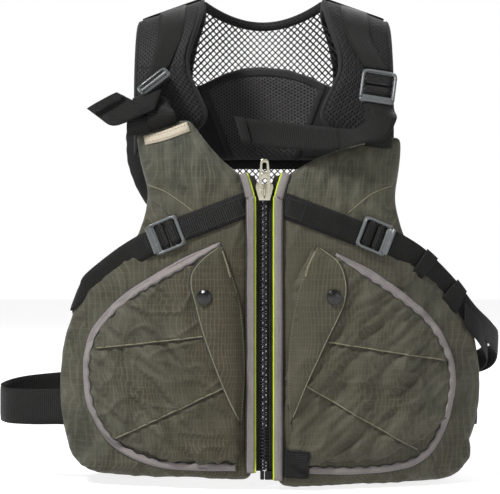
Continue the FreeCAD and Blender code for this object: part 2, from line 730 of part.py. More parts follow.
# Shoulder straps from the front's top to the buckle, and the tails that leave it:
# each station is (centre x, y, z), (half width x, y, z), (outward x, y, z).
SHOULDER_STRAP = {
    RIGHT: (((-110, -112.5, 380), (14, 0, -4), (0.05, -0.95, 0.3)),
            ((-112, -106, 396), (13.5, 0, -5), (0.1, -0.8, 0.6)),
            ((-111, -89, 404), (13, 0, -6), (0.3, -0.4, 0.86))),
    LEFT: (((119, -110, 368), (14, 0, -1), (0, -0.98, 0.2)),
           ((119, -104, 386), (14, 0, -2), (0.05, -0.8, 0.6)),
           ((119, -86, 398), (14, 0, -3), (0.15, -0.5, 0.85))),
}
STRAP_TAIL = {
    RIGHT: (((-127, -101, 404), (10, -4, 9.5), (0, -1, -0.3)), ((-135, -105, 398), (10, -2, 10.4), (0, -1, -0.2)),
            ((-145, -107, 396), (10.5, 0, 10), (0, -1, 0)), ((-156, -108, 399), (12, 0, 8), (0, -1, 0)),
            ((-167, -106, 405), (12.9, 0, 6.6), (0, -1, 0))),
    LEFT: (((124, -92, 402), (14, 0, -3), (0, -0.8, 0.6)), ((124, -112, 388), (13.5, 0, -5), (0.1, -0.9, 0.4)),
           ((115, -120, 372), (9, -6, -9.5), (0.3, -1, 0.4)), ((98, -122, 366), (4, -11, -8), (0.2, -0.6, 0.8)),
           ((78, -123, 364), (1, -9, -11), (0, -0.75, 0.65)), ((42, -122, 365), (1.5, -5, -13.4), (0, -0.95, 0.35)),
           ((5, -119, 368), (2.5, 0, -14.2), (0, -1, 0)), ((-27, -115, 373), (4, 0, -14), (0, -1, 0))),
}


def shoulder_straps(side):
    for name, table in (("_shoulder_strap", SHOULDER_STRAP), ("_strap_tail", STRAP_TAIL)):
        stations = [(Vector(*c) - Vector(*w), Vector(*c) + Vector(*w), Vector(*out))
                    for c, w, out in table[side]]
        solid_part(side + name, ribbon(stations, mm("strap_thickness")))


# --- Back ----------------------------------------------------------------------------------------

def mirrored(half):
    """A closed outline from its right-hand half, whose last stretch ends on the middle line."""
    *sides, crown = [list(stretch) for stretch in half]
    far = [[(-x, z) for x, z in reversed(stretch)] for stretch in reversed(sides)]
    top = crown + [(-crown[0][0], crown[0][1])]
    foot = [(-sides[0][0][0], sides[0][0][1]), sides[0][0]]
    return [foot] + sides + [top] + far


def back():
    """Outer cover, upper foam, inner mesh, side wings, two nets and a hem band."""
    cloth, thick = mm("cloth"), mm("back_thickness")
    cover_half = (
        [(150, 0), (182, 4), (198, 22), (202, 60)],
        [(202, 60), (204, 120), (198, 175), (176, 214), (155, 246), (147, 285), (149, 340)],
        [(149, 340), (150, 420)],
        [(150, 420), (70, 445)],
        [(70, 445), (0, 461)],
    )
    window_half = ([(104, 42), (108, 200), (104, 342)], [(104, 342), (0, 343)])
    foam_half = (
        [(106, 350), (138, 356)],
        [(138, 356), (145, 417)],
        [(145, 417), (70, 441)],
        [(70, 441), (0, 457)],
    )
    mesh_half = ([(37, 352), (70, 436)], [(70, 436), (0, 454)])
    window = outline_face(mirrored(window_half))
    cover = outline_face(mirrored(cover_half)).cut(window)
    bag = outline_face(mirrored(foam_half))
    foam = outline_face(mirrored(foam_half), inset=cloth)
    core = back_layer(foam, -cloth, cloth - thick)
    skin = back_layer(cover, 0, -cloth)
    gusset = back_layer(bag.cut(foam), -cloth - 0.05, cloth - thick)
    solid_part("back_cover", Part.makeCompound([skin, gusset]))
    solid_part("back_lining", back_layer(bag, cloth - thick, -thick))
    solid_part("back_foam", core)
    mesh = outline_face(mirrored(mesh_half))
    solid_part("back_air_mesh", back_layer(mesh, -thick - 0.1, -thick - 1.9))
    net = mm("net_thickness")
    solid_part("lower_back_net", back_layer(window, 0, -net))
    band = outline_face(([(-150, 0), (150, 0)], [(150, 0), (150, 38)], [(150, 38), (-150, 38)],
                         [(-150, 38), (-150, 0)]))
    solid_part("back_hem_band", back_layer(band, 2.2, 0.2))
    wing = (
        [(112, 0), (150, 0)],
        [(150, 0), (182, 4), (197, 22), (200, 60)],
        [(200, 60), (202, 120), (196, 174), (174, 213), (153, 245), (145, 285), (146, 344)],
        [(146, 344), (112, 344)],
        [(112, 344), (112, 0)],
    )
    wings = []
    for side, sign in SIDES:
        face = outline_face(wing, lambda x, z: (sign * x, z))
        wings.append(back_layer(face, -cloth, -mm("wing_thickness")))
    solid_part("back_wings", Part.makeCompound(wings))


def neck():
    """Net between the shoulders, and the soft binding along its top edge."""
    radius, centre = 78, 22
    net = mm("net_thickness")
    half = mm("pad_neck") - 2
    dip = ([(-half, 451), (0, 464), (half, 451)], [(half, 451), (half, 517)],
           [(half, 517), (0, 503), (-half, 517)], [(-half, 517), (-half, 451)])
    edge = ([(-half, 517), (0, 503), (half, 517)], [(half, 517), (half, 525)],
            [(half, 525), (0, 511), (-half, 525)], [(-half, 525), (-half, 517)])
    thin = cylinder_wall(centre, radius, radius - net)
    solid_part("neck_net", prism(outline_face(dip), 40, 140).common(thin))
    soft = cylinder_wall(centre, radius + 1.5, radius - net - 1.5)
    solid_part("neck_binding", prism(outline_face(edge), 40, 140).common(soft))


# --- Assembly --------------------------------------------------------------------------------------

def print_joint_facts():
    """Axes for the record, from the same placements as the solids."""
    for side, sign in SIDES:
        chest, top = chest_buckle_frame(side, sign), shoulder_buckle_frame(side, sign)
        for name, frame, kind in (("chest", chest, "chest_buckle"), ("shoulder", top, "buckle")):
            bar = Vector(-(mm(kind + "_length") - mm("buckle_bar")) / 2, 0, 0)
            at, axis = frame.multVec(bar), frame.Rotation.multVec(Vector(0, 0, 1))
            print(side, name, "buckle bar", [round(v, 3) for v in at], [round(v, 5) for v in axis])
        warp = side_warp(side, sign)
        over = mm("pouch_thickness") + 0.2 + mm("trim_thickness") + 0.3 + mm("flap_thickness") / 2
        ends = []
        for x, z in FLAP_HINGE:
            wx = warp(x, z)[0]
            ends.append(Vector(wx, front_y(wx, over), z))
        way = (ends[0] - ends[1]).normalize()
        print(side, "flap hinge", [round(v, 3) for v in ends[1]], [round(v, 5) for v in way])
        hinge = [Vector(warp(205, 60)[0], -62, 60), Vector(warp(131, 385)[0], -62, 385)]
        way = (hinge[1] - hinge[0]).normalize()
        print(side, "front hinge", [round(v, 3) for v in hinge[0]], [round(v, 5) for v in way])


def check_and_export():
    DOC.recompute()
    for obj in DOC.Objects:
        bad = [s for s in obj.State if s in ("Invalid", "Error")]
        assert not bad, f"{obj.Label} is {bad}"
    os.makedirs("parts", exist_ok=True)
    for part in PARTS:
        shape = part.Shape
        assert not shape.isNull() and shape.isValid(), part.Label + " has no valid shape"
        assert shape.Solids and shape.Volume > 0, f"{part.Label} holds {shape.Volume}"
        shape.exportStep(os.path.join("parts", part.Label + ".step"))
    print(len(PARTS), "sub-parts")


def main():
    for side, sign in SIDES:
        front_panel(side, sign)
        placket(side, sign)
        pocket(side, sign)
        snap(side, sign)
        zip_half(side, sign)
        chest_strap(side, sign)
        side_webbing(side, sign)
        shoulder(side, sign)
        shoulder_straps(side)
    reflective_tape()
    zip_ends()
    zip_slider()
    zip_pull()
    hem_tab()
    buckles()
    back()
    neck()
    print_joint_facts()
    check_and_export()


main()
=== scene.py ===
"""Paddling life jacket: the visual model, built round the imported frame. Lengths in mm unless said."""
import math

import bmesh
import bpy
import numpy as np
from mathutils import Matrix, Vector, noise
from mathutils.bvhtree import BVHTree


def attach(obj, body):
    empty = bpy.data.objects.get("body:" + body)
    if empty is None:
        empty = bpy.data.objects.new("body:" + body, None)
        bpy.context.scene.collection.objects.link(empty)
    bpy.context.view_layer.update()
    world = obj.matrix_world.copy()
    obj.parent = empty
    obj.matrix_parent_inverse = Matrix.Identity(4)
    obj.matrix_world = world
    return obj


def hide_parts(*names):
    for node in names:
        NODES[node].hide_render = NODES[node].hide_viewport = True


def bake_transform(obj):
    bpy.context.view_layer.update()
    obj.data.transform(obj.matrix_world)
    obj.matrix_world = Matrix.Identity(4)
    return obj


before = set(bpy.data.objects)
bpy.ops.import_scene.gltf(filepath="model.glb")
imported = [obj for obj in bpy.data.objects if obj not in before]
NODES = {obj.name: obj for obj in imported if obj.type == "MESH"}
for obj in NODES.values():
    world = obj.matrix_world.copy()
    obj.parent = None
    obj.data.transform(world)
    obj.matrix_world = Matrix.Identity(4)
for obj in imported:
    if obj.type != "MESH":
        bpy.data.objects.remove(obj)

noise.seed_set(7)          # otherwise noise_vector starts from the clock, and each run differs
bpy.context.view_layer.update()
MM = 0.001
SIDES = (("right", -1), ("left", 1))
# The faces are bent round upright cylinders of this radius; front and back stand this far off the middle.
RADIUS, FRONT, BACK = 420.0, 118.0, 112.0
ZIP_DEPTH = -111.0         # y of the zip
PANEL_FACE = -0.110        # y of a front panel's face, in metres


def front_y(x, over=0.0):
    """The front cylinder at x, this far proud of it."""
    return RADIUS - FRONT - math.sqrt((RADIUS + over) ** 2 - x * x)


def back_y(x, over=0.0):
    """The back cylinder at x, this far proud of it."""
    return BACK - RADIUS + math.sqrt((RADIUS + over) ** 2 - x * x)


def clamp(value):
    """The value, kept between 0 and 1."""
    return min(1, max(0, value))


# --- Materials -----------------------------------------------------------------------------------

class Shader:
    """Short-hand for one material's node tree."""

    def __init__(self, name, rough=0.7, metal=0.0, **sockets):
        self.mat = bpy.data.materials.new(name)
        self.mat.use_nodes = True
        self.tree = self.mat.node_tree
        self.bsdf = self.tree.nodes["Principled BSDF"]
        self.bsdf.inputs["Roughness"].default_value = rough
        self.bsdf.inputs["Metallic"].default_value = metal
        for key, value in sockets.items():
            self.bsdf.inputs[key.replace("_", " ")].default_value = value

    def put(self, socket, value):
        if isinstance(value, bpy.types.NodeSocket):
            self.tree.links.new(value, socket)
        elif hasattr(value, "__len__") and len(value) == 3 and len(socket.default_value) == 4:
            socket.default_value = (*value, 1)
        else:
            socket.default_value = value

    def node(self, kind, out=0, inputs=(), **settings):
        made = self.tree.nodes.new("ShaderNode" + kind)
        for key, value in settings.items():
            setattr(made, key, value)
        for key, value in dict(inputs).items():
            self.put(made.inputs[key], value)
        return made.outputs[out]

    def math(self, operation, a, b=0.0, c=0.0):
        made = self.tree.nodes.new("ShaderNodeMath")
        made.operation = operation
        for socket, value in zip(made.inputs, (a, b, c)):
            self.put(socket, value)
        return made.outputs[0]

    def mix(self, factor, a, b):
        made = self.tree.nodes.new("ShaderNodeMix")
        made.data_type = "RGBA"
        self.put(made.inputs[0], factor)
        self.put(made.inputs[6], a)
        self.put(made.inputs[7], b)
        return made.outputs[2]

    def ramp(self, value, low, high):
        """0 below low, 1 above high."""
        return self.node("MapRange", inputs={0: value, 1: low, 2: high, 3: 0.0, 4: 1.0})

    def coords(self, kind):
        """Object or UV coordinates, as separate X, Y, Z."""
        source = self.node("TexCoord", out={"Object": 3, "UV": 2}[kind])
        split = self.tree.nodes.new("ShaderNodeSeparateXYZ")
        self.tree.links.new(source, split.inputs[0])
        return source, split.outputs

    def noise(self, vector, scale, detail=3.0, rough=0.6):
        return self.node("TexNoise", inputs={"Vector": vector, "Scale": scale, "Detail": detail,
                                             "Roughness": rough})

    def wave(self, value, pitch):
        """-1 to 1, once every pitch metres."""
        return self.math("SINE", self.math("MULTIPLY", value, 2 * math.pi / pitch))

    def colour(self, value):
        self.put(self.bsdf.inputs["Base Color"], value)

    def rough(self, value):
        self.put(self.bsdf.inputs["Roughness"], value)

    def bump(self, height, distance, strength=1.0, under=None):
        inputs = {"Height": height, "Distance": distance, "Strength": strength}
        if under is not None:
            inputs["Normal"] = under
        made = self.node("Bump", inputs=inputs)
        self.tree.links.new(made, self.bsdf.inputs["Normal"])
        return made


def ripstop(name, dark, light, earth, reach, edge):
    """Coated ripstop: fine weave with heavier threads, dust and earthy stains nearer the zip, and painted
    shade on the outer side band, as strong as edge.
    """
    s = Shader(name, rough=0.6, Specular_IOR_Level=0.16, Sheen_Weight=0.05, Sheen_Roughness=0.5)
    uv, (u, v, _) = s.coords("UV")
    threads = []
    for axis, pitch, share in ((u, 0.0033, 0.22), (v, 0.0066, 0.08)):
        cell = s.math("FRACT", s.math("DIVIDE", axis, pitch))
        threads.append(s.math("LESS_THAN", cell, share))
    grid = s.math("MAXIMUM", *threads)
    weave = s.math("MULTIPLY", s.wave(u, 0.00085), s.wave(v, 0.00085))
    streaky = s.node("CombineXYZ", inputs={0: s.math("MULTIPLY", u, 3.2), 1: v})
    streak = s.noise(streaky, 26, 4, 0.6)
    blotch = s.noise(uv, 17, 5, 0.62)
    fine = s.noise(uv, 240, 3, 0.7)
    base = s.mix(s.ramp(streak, 0.37, 0.63), dark, light)
    # Painted shade: beyond about 0.17 m from the middle, the cloth is darkened to 70 % of dark, scaled by
    # edge, where the panel turns away from the light.
    side = s.ramp(s.math("MULTIPLY_ADD", blotch, 0.03, s.math("ABSOLUTE", u)), 0.17, 0.225)
    base = s.mix(s.math("MULTIPLY", side, edge), base, [c * 0.7 for c in dark])
    near = s.ramp(s.math("MULTIPLY_ADD", s.math("ABSOLUTE", u), -1 / reach, blotch), -0.5, 0.2)
    near = s.math("MULTIPLY", near, s.ramp(s.math("MULTIPLY_ADD", blotch, -0.08, v), 0.31, 0.20))
    base = s.mix(s.math("MULTIPLY", near, 0.85), base, earth)
    base = s.mix(s.math("MULTIPLY", s.ramp(fine, 0.45, 0.72), 0.5), base, [c * 2.1 for c in dark])
    base = s.mix(s.math("MULTIPLY", grid, s.math("MULTIPLY", s.ramp(blotch, 0.25, 0.75), 0.42)), base,
                 [c * 1.7 for c in light])
    s.colour(base)
    s.rough(s.math("MULTIPLY_ADD", blotch, 0.25, 0.46))
    first = s.bump(s.math("ADD", s.math("MULTIPLY", weave, 0.3), grid), 0.0002, 0.7)
    s.bump(fine, 0.0006, 0.35, first)
    return s.mat


def webbing(name, colour, shine=0.5):
    """Flat woven strap: ribs along it, a fine twill across them, the raised weave painted lighter as a
    highlight among random fibre fuzz.
    """
    s = Shader(name, rough=shine, Specular_IOR_Level=0.12, Sheen_Weight=0.015)
    uv, (u, v, _) = s.coords("UV")
    rib = s.wave(v, 0.0023)
    twill = s.wave(s.math("ADD", u, s.math("MULTIPLY", v, 0.6)), 0.0016)
    height = s.math("ADD", s.math("MULTIPLY", rib, 0.6), s.math("MULTIPLY", twill, 0.6))
    fuzz = s.noise(uv, 900, 2)
    worn = s.noise(uv, 45, 4)
    # Painted highlight: the weave's raised crests are lightened, mixed with random fibre fuzz.
    fuzz_and_rib_highlight = s.mix(s.ramp(s.math("MULTIPLY_ADD", height, 0.3, fuzz), 0.3, 0.9), colour,
                 [min(1, c * 2.6 + 0.006) for c in colour])
    s.colour(s.mix(s.math("MULTIPLY", s.ramp(worn, 0.5, 0.8), 0.4), fuzz_and_rib_highlight,
                   [min(1, c * 2.2 + 0.01) for c in colour]))
    s.bump(height, 0.00035, 0.9)
    return s.mat


def grosgrain(name, colour, pale, pitch=0.0011):
    """Heather binding tape with fine ribs across it."""
    s = Shader(name, rough=0.8, Specular_IOR_Level=0.15, Sheen_Weight=0.04)
    uv, (_, v, _) = s.coords("UV")
    rib = s.wave(v, pitch)
    fleck = s.noise(uv, 700, 3, 0.8)
    cloud = s.noise(uv, 60, 3)
    base = s.mix(s.ramp(fleck, 0.35, 0.7), colour, pale)
    s.colour(s.mix(s.math("MULTIPLY", s.ramp(cloud, 0.45, 0.8), 0.35), base,
                   [c * 0.7 for c in colour]))
    s.bump(s.math("MULTIPLY_ADD", rib, 0.5, fleck), 0.0003, 0.8)
    return s.mat


def air_mesh(name, colour, pitch=0.0046, tall=1.0):
    """Spacer mesh: staggered round holes, their floor painted dark as shade."""
    s = Shader(name, rough=0.7, Specular_IOR_Level=0.2, Sheen_Weight=0.02)
    _, (u, v, _) = s.coords("UV")
    v = s.math("MULTIPLY", v, 1 / tall)
    a = s.wave(u, pitch)
    b = s.wave(s.math("MULTIPLY_ADD", u, 0.5, s.math("MULTIPLY", v, 0.866)), pitch)
    c = s.wave(s.math("MULTIPLY_ADD", u, -0.5, s.math("MULTIPLY", v, 0.866)), pitch)
    field = s.math("ADD", s.math("ADD", a, b), c)
    hole = s.ramp(s.math("MULTIPLY", s.math("MULTIPLY", a, b), c), 0.02, 0.45)
    ridge = s.math("SUBTRACT", 1.0, hole)
    # Painted shade: the hole floors are coloured at 6 % of the mesh colour.
    s.colour(s.mix(ridge, [c_ * 0.06 for c_ in colour], colour))
    s.bump(s.math("MULTIPLY_ADD", field, 0.08, ridge), 0.0012, 1.0)
    return s.mat


def plain_weave(name, colour, pitch=0.0009, rough=0.6, lift=0.00018):
    s = Shader(name, rough=rough, Specular_IOR_Level=0.15, Sheen_Weight=0.02)
    uv, (u, v, _) = s.coords("UV")
    weave = s.math("MULTIPLY", s.wave(u, pitch), s.wave(v, pitch))
    cloud = s.noise(uv, 30, 4)
    s.colour(s.mix(s.ramp(cloud, 0.35, 0.75), colour, [min(1, c * 1.9 + 0.004) for c in colour]))
    s.bump(weave, lift, 0.8)
    return s.mat


def moulded(name, colour, rough=0.32, grain=0.00006, metal=0.0, scuffs=0.25, shine=0.5):
    """Moulded plastic or cast metal: fine grain, scuffed lighter in places."""
    s = Shader(name, rough=rough, metal=metal, Specular_IOR_Level=shine)
    at, _ = s.coords("Object")
    cloud = s.noise(at, 160, 5, 0.7)
    fine = s.noise(at, 2600, 2)
    s.colour(s.mix(s.math("MULTIPLY", s.ramp(cloud, 0.55, 0.75), scuffs), colour,
                   [min(1, c * 1.7 + 0.03) for c in colour]))
    s.rough(s.math("MULTIPLY_ADD", cloud, 0.3, rough - 0.12))
    s.bump(fine, grain, 0.6)
    return s.mat


MAT = {
    # The last ripstop argument scales the painted shade on the outer side band: weak on the right front,
    # strong on the left.
    "right_cloth": ripstop("olive_ripstop_right", (0.024, 0.025, 0.017), (0.071, 0.071, 0.053),
                           (0.036, 0.027, 0.0145), 0.2, 0.12),
    "left_cloth": ripstop("olive_ripstop_left", (0.027, 0.028, 0.019), (0.074, 0.074, 0.054),
                          (0.047, 0.040, 0.026), 0.26, 0.75),
    "webbing": webbing("black_webbing", (0.0045, 0.0043, 0.0041)),
    "binding": grosgrain("grey_heather_binding", (0.150, 0.134, 0.132), (0.225, 0.203, 0.198)),
    "piping": grosgrain("lime_piping", (0.38, 0.49, 0.02), (0.53, 0.66, 0.04), 0.0008),
    "reflective": grosgrain("reflective_tape", (0.30, 0.265, 0.20), (0.42, 0.375, 0.30), 0.0016),
    "thread": grosgrain("tan_thread", (0.125, 0.118, 0.078), (0.23, 0.215, 0.145), 0.0006),
    "dots": grosgrain("stitch_holes", (0.09, 0.08, 0.075), (0.16, 0.14, 0.13), 0.0006),
    # Real black stitching, and also the thin dark tubes laid as painted shade along the binding, flap and
    # placket edges and under the pocket seams.
    "black_thread_and_painted_shade": grosgrain("black_thread_and_painted_shade", (0.03, 0.03, 0.03), (0.06, 0.06, 0.06), 0.0006),
    "mesh": air_mesh("black_air_mesh", (0.038, 0.036, 0.036), 0.0066),
    "pad_mesh": air_mesh("black_pad_mesh", (0.0115, 0.011, 0.011), 0.0062, 1.5),
    "nylon": plain_weave("black_nylon", (0.0055, 0.0053, 0.0053)),
    "black_binding": grosgrain("black_binding", (0.010, 0.010, 0.010), (0.024, 0.024, 0.024)),
    "zip_tape": plain_weave("zip_tape_weave", (0.014, 0.013, 0.012), 0.0014, 0.75, 0.0003),
    "net": plain_weave("net_cord", (0.012, 0.012, 0.012), 0.0008, 0.6),
    "teeth": moulded("moulded_teeth", (0.005, 0.005, 0.006), 0.42, scuffs=0.1, shine=0.22),
    "metal": moulded("slider_metal", (0.50, 0.47, 0.38), 0.24, metal=0.95, scuffs=0.5),
    "buckle": moulded("grey_acetal", (0.078, 0.085, 0.087), 0.28, scuffs=0.5),
    "snap": moulded("black_enamel", (0.004, 0.004, 0.0045), 0.17, scuffs=0.1),
    "steel": moulded("snap_steel", (0.5, 0.5, 0.5), 0.3, metal=1.0),
}


# --- Mesh tools ------------------------------------------------------------------------------------

def shade_smooth(mesh):
    mesh.polygons.foreach_set("use_smooth", [True] * len(mesh.polygons))


def write_uv(mesh, uvs):
    """uvs has one (u, v) for each vertex."""
    layer = mesh.uv_layers.get("UVMap") or mesh.uv_layers.new(name="UVMap")
    index = np.empty(len(mesh.loops), int)
    mesh.loops.foreach_get("vertex_index", index)
    layer.data.foreach_set("uv", np.asarray(uvs, np.float32)[index].ravel())


def link(name, mesh, material=None, smooth=True):
    obj = bpy.data.objects.new(name, mesh)
    bpy.context.scene.collection.objects.link(obj)
    if material:
        mesh.materials.append(MAT[material])
    if smooth:
        shade_smooth(mesh)
    return obj


def mesh_from(name, verts, faces, material, uvs=None):
    """verts in metres. uvs has one (u, v) for each vertex."""
    mesh = bpy.data.meshes.new(name)
    mesh.from_pydata([tuple(v) for v in verts], [], faces)
    mesh.update()
    if uvs is not None:
        write_uv(mesh, uvs)
    return link(name, mesh, material)


def closed(name, verts, faces, material, uvs=None):
    """A closed piece with its faces turned outwards."""
    obj = mesh_from(name, verts, faces, material, uvs=uvs)
    tidy_normals(obj)
    return obj


def read_vectors(items, field):
    flat = np.empty(len(items) * 3)
    items.foreach_get(field, flat)
    return flat.reshape(-1, 3)


def coords(obj):
    return read_vectors(obj.data.vertices, "co")


def set_coords(obj, points):
    obj.data.vertices.foreach_set("co", np.asarray(points, float).ravel())
    obj.data.update()


def normals(obj):
    return read_vectors(obj.data.vertex_normals, "vector")


def bake(obj):
    """Applies every modifier."""
    bpy.context.view_layer.update()
    done = bpy.data.meshes.new_from_object(obj.evaluated_get(bpy.context.evaluated_depsgraph_get()))
    obj.modifiers.clear()
    obj.data = done
    return obj


def set_uv(obj, where):
    """UVs in metres from where(x, y, z) in metres."""
    write_uv(obj.data, [where(*p) for p in coords(obj)])


def soft_from(name, nodes, voxel, rounds, grow, material):
    """A closed soft form with rounded edges in the space that CAD solids hold."""
    form = bmesh.new()
    for node in nodes:
        form.from_mesh(NODES[node].data)
    mesh = bpy.data.meshes.new(name)
    form.to_mesh(mesh)
    form.free()
    obj = link(name, mesh)
    mesh.materials.clear()
    remesh = obj.modifiers.new("Remesh", "REMESH")
    remesh.mode, remesh.voxel_size = "VOXEL", voxel * MM
    smooth = obj.modifiers.new("Smooth", "SMOOTH")
    smooth.factor, smooth.iterations = 0.5, rounds
    bake(obj)
    obj.data.materials.clear()
    obj.data.materials.append(MAT[material])
    obj.data.polygons.foreach_set("material_index", [0] * len(obj.data.polygons))
    set_coords(obj, coords(obj) + normals(obj) * grow * MM)
    return obj


def swell(obj, cap, pressure=4.0, frames=20):
    """Cloth under a little air pressure: seams pucker and faces crown. Nothing moves past cap."""
    rest = coords(obj)
    cloth = obj.modifiers.new("Cloth", "CLOTH")
    cloth.settings.quality = 5
    cloth.settings.use_pressure = True
    cloth.settings.uniform_pressure_force = pressure
    cloth.settings.effector_weights.gravity = 0
    scene = bpy.context.scene
    for step in range(1, frames + 1):
        scene.frame_set(step)
    shape = obj.evaluated_get(bpy.context.evaluated_depsgraph_get()).to_mesh()
    swollen = read_vectors(shape.vertices, "co")
    obj.modifiers.clear()
    scene.frame_set(1)
    move = swollen - rest
    length = np.linalg.norm(move, axis=1, keepdims=True)
    move *= np.minimum(1, cap * MM / np.maximum(length, 1e-9))
    set_coords(obj, rest + move)


def refine(obj):
    """One subdivision, applied."""
    sub = obj.modifiers.new("Subdivision", "SUBSURF")
    sub.levels = sub.render_levels = 1
    bake(obj)
    shade_smooth(obj.data)


def displace(obj, height):
    """Moves each vertex along its normal by height(x, y, z, normal) in mm; x, y, z in mm."""
    points, ways = coords(obj), normals(obj)
    lift = np.array([height(*(p / MM), n) for p, n in zip(points, ways)])
    set_coords(obj, points + ways * lift[:, None] * MM)


def creases(x, y, z, scale, stretch=(1, 1, 1), seed=0.0):
    """Sharp folds: near 1 on thin wandering lines, 0 between them."""
    p = Vector((x * stretch[0], y * stretch[1] + seed, z * stretch[2])) / scale
    warp = noise.noise_vector(p * 0.7) * 0.5
    ridge = 1 - min(1, abs(noise.noise(p + warp)) * 2.6)
    return ridge ** 3


def folds(x, z, angle, across, along, seed):
    """Soft parallel folds that run at an angle from the X axis."""
    c, sn = math.cos(math.radians(angle)), math.sin(math.radians(angle))
    along_at, across_at = x * c + z * sn, z * c - x * sn
    value = noise.noise(Vector((along_at / along, seed, across_at / across)))
    return math.copysign(abs(value) ** 0.8, value)


def swells(x, y, z, scale, seed=0.0):
    """Smooth noise, with lumps about scale mm wide."""
    return noise.noise(Vector((x, y + seed, z)) / scale)


def resample(points, step):
    """A smooth line through the points, with a point every step, as an array."""
    pts = np.asarray(points, float)
    ends = np.vstack([2 * pts[0] - pts[1], pts, 2 * pts[-1] - pts[-2]])
    dense = []
    for i in range(len(pts) - 1):
        a, b, c, d = ends[i:i + 4]
        t = np.linspace(0, 1, 24, endpoint=False)[:, None]
        dense.append(0.5 * (2 * b + (c - a) * t + (2 * a - 5 * b + 4 * c - d) * t ** 2
                            + (3 * b - a - 3 * c + d) * t ** 3))
    dense = np.vstack(dense + [pts[-1:]])
    length = np.concatenate([[0], np.cumsum(np.linalg.norm(np.diff(dense, axis=0), axis=1))])
    count = max(2, int(round(length[-1] / step)) + 1)
    at = np.linspace(0, length[-1], count)
    return np.column_stack([np.interp(at, length, dense[:, k]) for k in range(pts.shape[1])])


def tangents(points):
    """Unit directions along a line."""
    way = np.gradient(points, axis=0)
    return way / np.maximum(np.linalg.norm(way, axis=1, keepdims=True), 1e-12)


def ease(values, rounds):
    """Evens out a run of values in place; its two ends stay."""
    for _ in range(rounds):
        values[1:-1] = (values[:-2] + 2 * values[1:-1] + values[2:]) / 4


class Skin:
    """The outermost surface of some pieces, as seen from the front or from the back."""

    def __init__(self, objs, facing=-1):
        self.facing = facing
        self.trees = []
        for obj in objs:
            faces = [tuple(p.vertices) for p in obj.data.polygons]
            self.trees.append(BVHTree.FromPolygons([v.co.copy() for v in obj.data.vertices], faces))

    def y(self, x, z):
        """Height of the surface at x, z, all in mm."""
        found = []
        for tree in self.trees:
            hit = tree.ray_cast(Vector((x * MM, self.facing * 0.5, z * MM)),
                                Vector((0, -self.facing, 0)))
            if hit[0] is not None:
                found.append(hit[0].y / MM)
        if not found:
            return None
        return min(found) if self.facing < 0 else max(found)


class Level:
    """A skin that is flat at zero."""
    facing = -1

    def y(self, x, z):
        return 0.0


def lay(path, width, skin, lift, columns=5, step=2.5, settle=2, spread=None):
    """Rows of points, in mm, for a tape laid on a skin along a path of (x, z)."""
    line = resample(path, step)
    way = tangents(line)
    rows = np.zeros((len(line), columns, 3))
    for i, ((x, z), (tx, tz)) in enumerate(zip(line, way)):
        wide = width if spread is None else width * spread(i / (len(line) - 1))
        for j in range(columns):
            off = (j / (columns - 1) - 0.5) * wide
            px, pz = x - tz * off, z + tx * off
            y = skin.y(px, pz)
            rows[i, j] = px, (np.nan if y is None else y), pz
    fallback = np.nanmean(rows[:, :, 1], axis=1)
    order = np.arange(len(line))
    good = ~np.isnan(fallback)
    fallback = np.interp(order, order[good], fallback[good])
    for j in range(columns):
        hole = np.isnan(rows[:, j, 1])
        rows[hole, j, 1] = fallback[hole]
        ease(rows[:, j, 1], settle)
    rows[:, :, 1] += skin.facing * lift
    return rows


def outwards(rows):
    """Away from the upright axis through the origin."""
    return rows * (1, 1, 0)


def off_shoulder(rows):
    """Away from the middle of the shoulder's arch."""
    return rows - (0, 20, 440)


def stations(table, step=3.0, columns=5):
    """Rows for a free strap from (centre, half width) pairs in mm."""
    both = np.array([list(c) + list(h) for c, h in table], float)
    smooth = resample(both, step)
    rows = np.zeros((len(smooth), columns, 3))
    for j in range(columns):
        rows[:, j] = smooth[:, :3] + smooth[:, 3:] * (2 * j / (columns - 1) - 1)
    return rows


def band(name, rows, thick, material, out=(0, -1, 0), round_edge=0.45, crown=0.0):
    """A closed flat tape through rows of points in mm, with soft edges and UVs in metres."""
    rows = np.asarray(rows, float)
    count, columns, _ = rows.shape
    along, across = np.gradient(rows, axis=0), np.gradient(rows, axis=1)
    face = np.cross(along, across)
    face /= np.maximum(np.linalg.norm(face, axis=2, keepdims=True), 1e-9)
    hint = out(rows) if callable(out) else np.broadcast_to(np.array(out, float), rows.shape)
    if (face * hint).sum() < 0:
        face = -face
    share = np.ones(columns)
    share[0] = share[-1] = round_edge
    bulge = crown * (1 - np.linspace(-1, 1, columns) ** 2)
    top = rows + face * (thick / 2 * share + bulge)[None, :, None]
    low = rows - face * (thick / 2 * share)[None, :, None]
    v = np.concatenate([[0], np.cumsum(np.linalg.norm(np.diff(rows.mean(1), axis=0), axis=1))])
    u = np.concatenate([[0], np.cumsum(np.linalg.norm(np.diff(rows.mean(0), axis=0), axis=1))])
    uv = np.array([[u[j], v[i]] for i in range(count) for j in range(columns)]) * MM
    verts = np.vstack([top.reshape(-1, 3), low.reshape(-1, 3)]) * MM
    half = count * columns
    faces = []
    for i in range(count - 1):
        for j in range(columns - 1):
            a = i * columns + j
            quad = (a, a + 1, a + columns + 1, a + columns)
            faces += [quad, tuple(k + half for k in reversed(quad))]
        for j, flip in ((0, True), (columns - 1, False)):
            a = i * columns + j
            quad = (a, a + columns, a + columns + half, a + half)
            faces.append(tuple(reversed(quad)) if flip else quad)
    for i, flip in ((0, False), (count - 1, True)):
        for j in range(columns - 1):
            a = i * columns + j
            quad = (a, a + half, a + 1 + half, a + 1)
            faces.append(quad if flip else tuple(reversed(quad)))
    return closed(name, verts, faces, material, np.vstack([uv, uv]))


def tidy_normals(obj, weld=0.0):
    """Turns faces outwards, after welding points closer than weld metres."""
    form = bmesh.new()
    form.from_mesh(obj.data)
    if weld:
        bmesh.ops.remove_doubles(form, verts=form.verts, dist=weld)
    bmesh.ops.recalc_face_normals(form, faces=form.faces)
    form.to_mesh(obj.data)
    form.free()


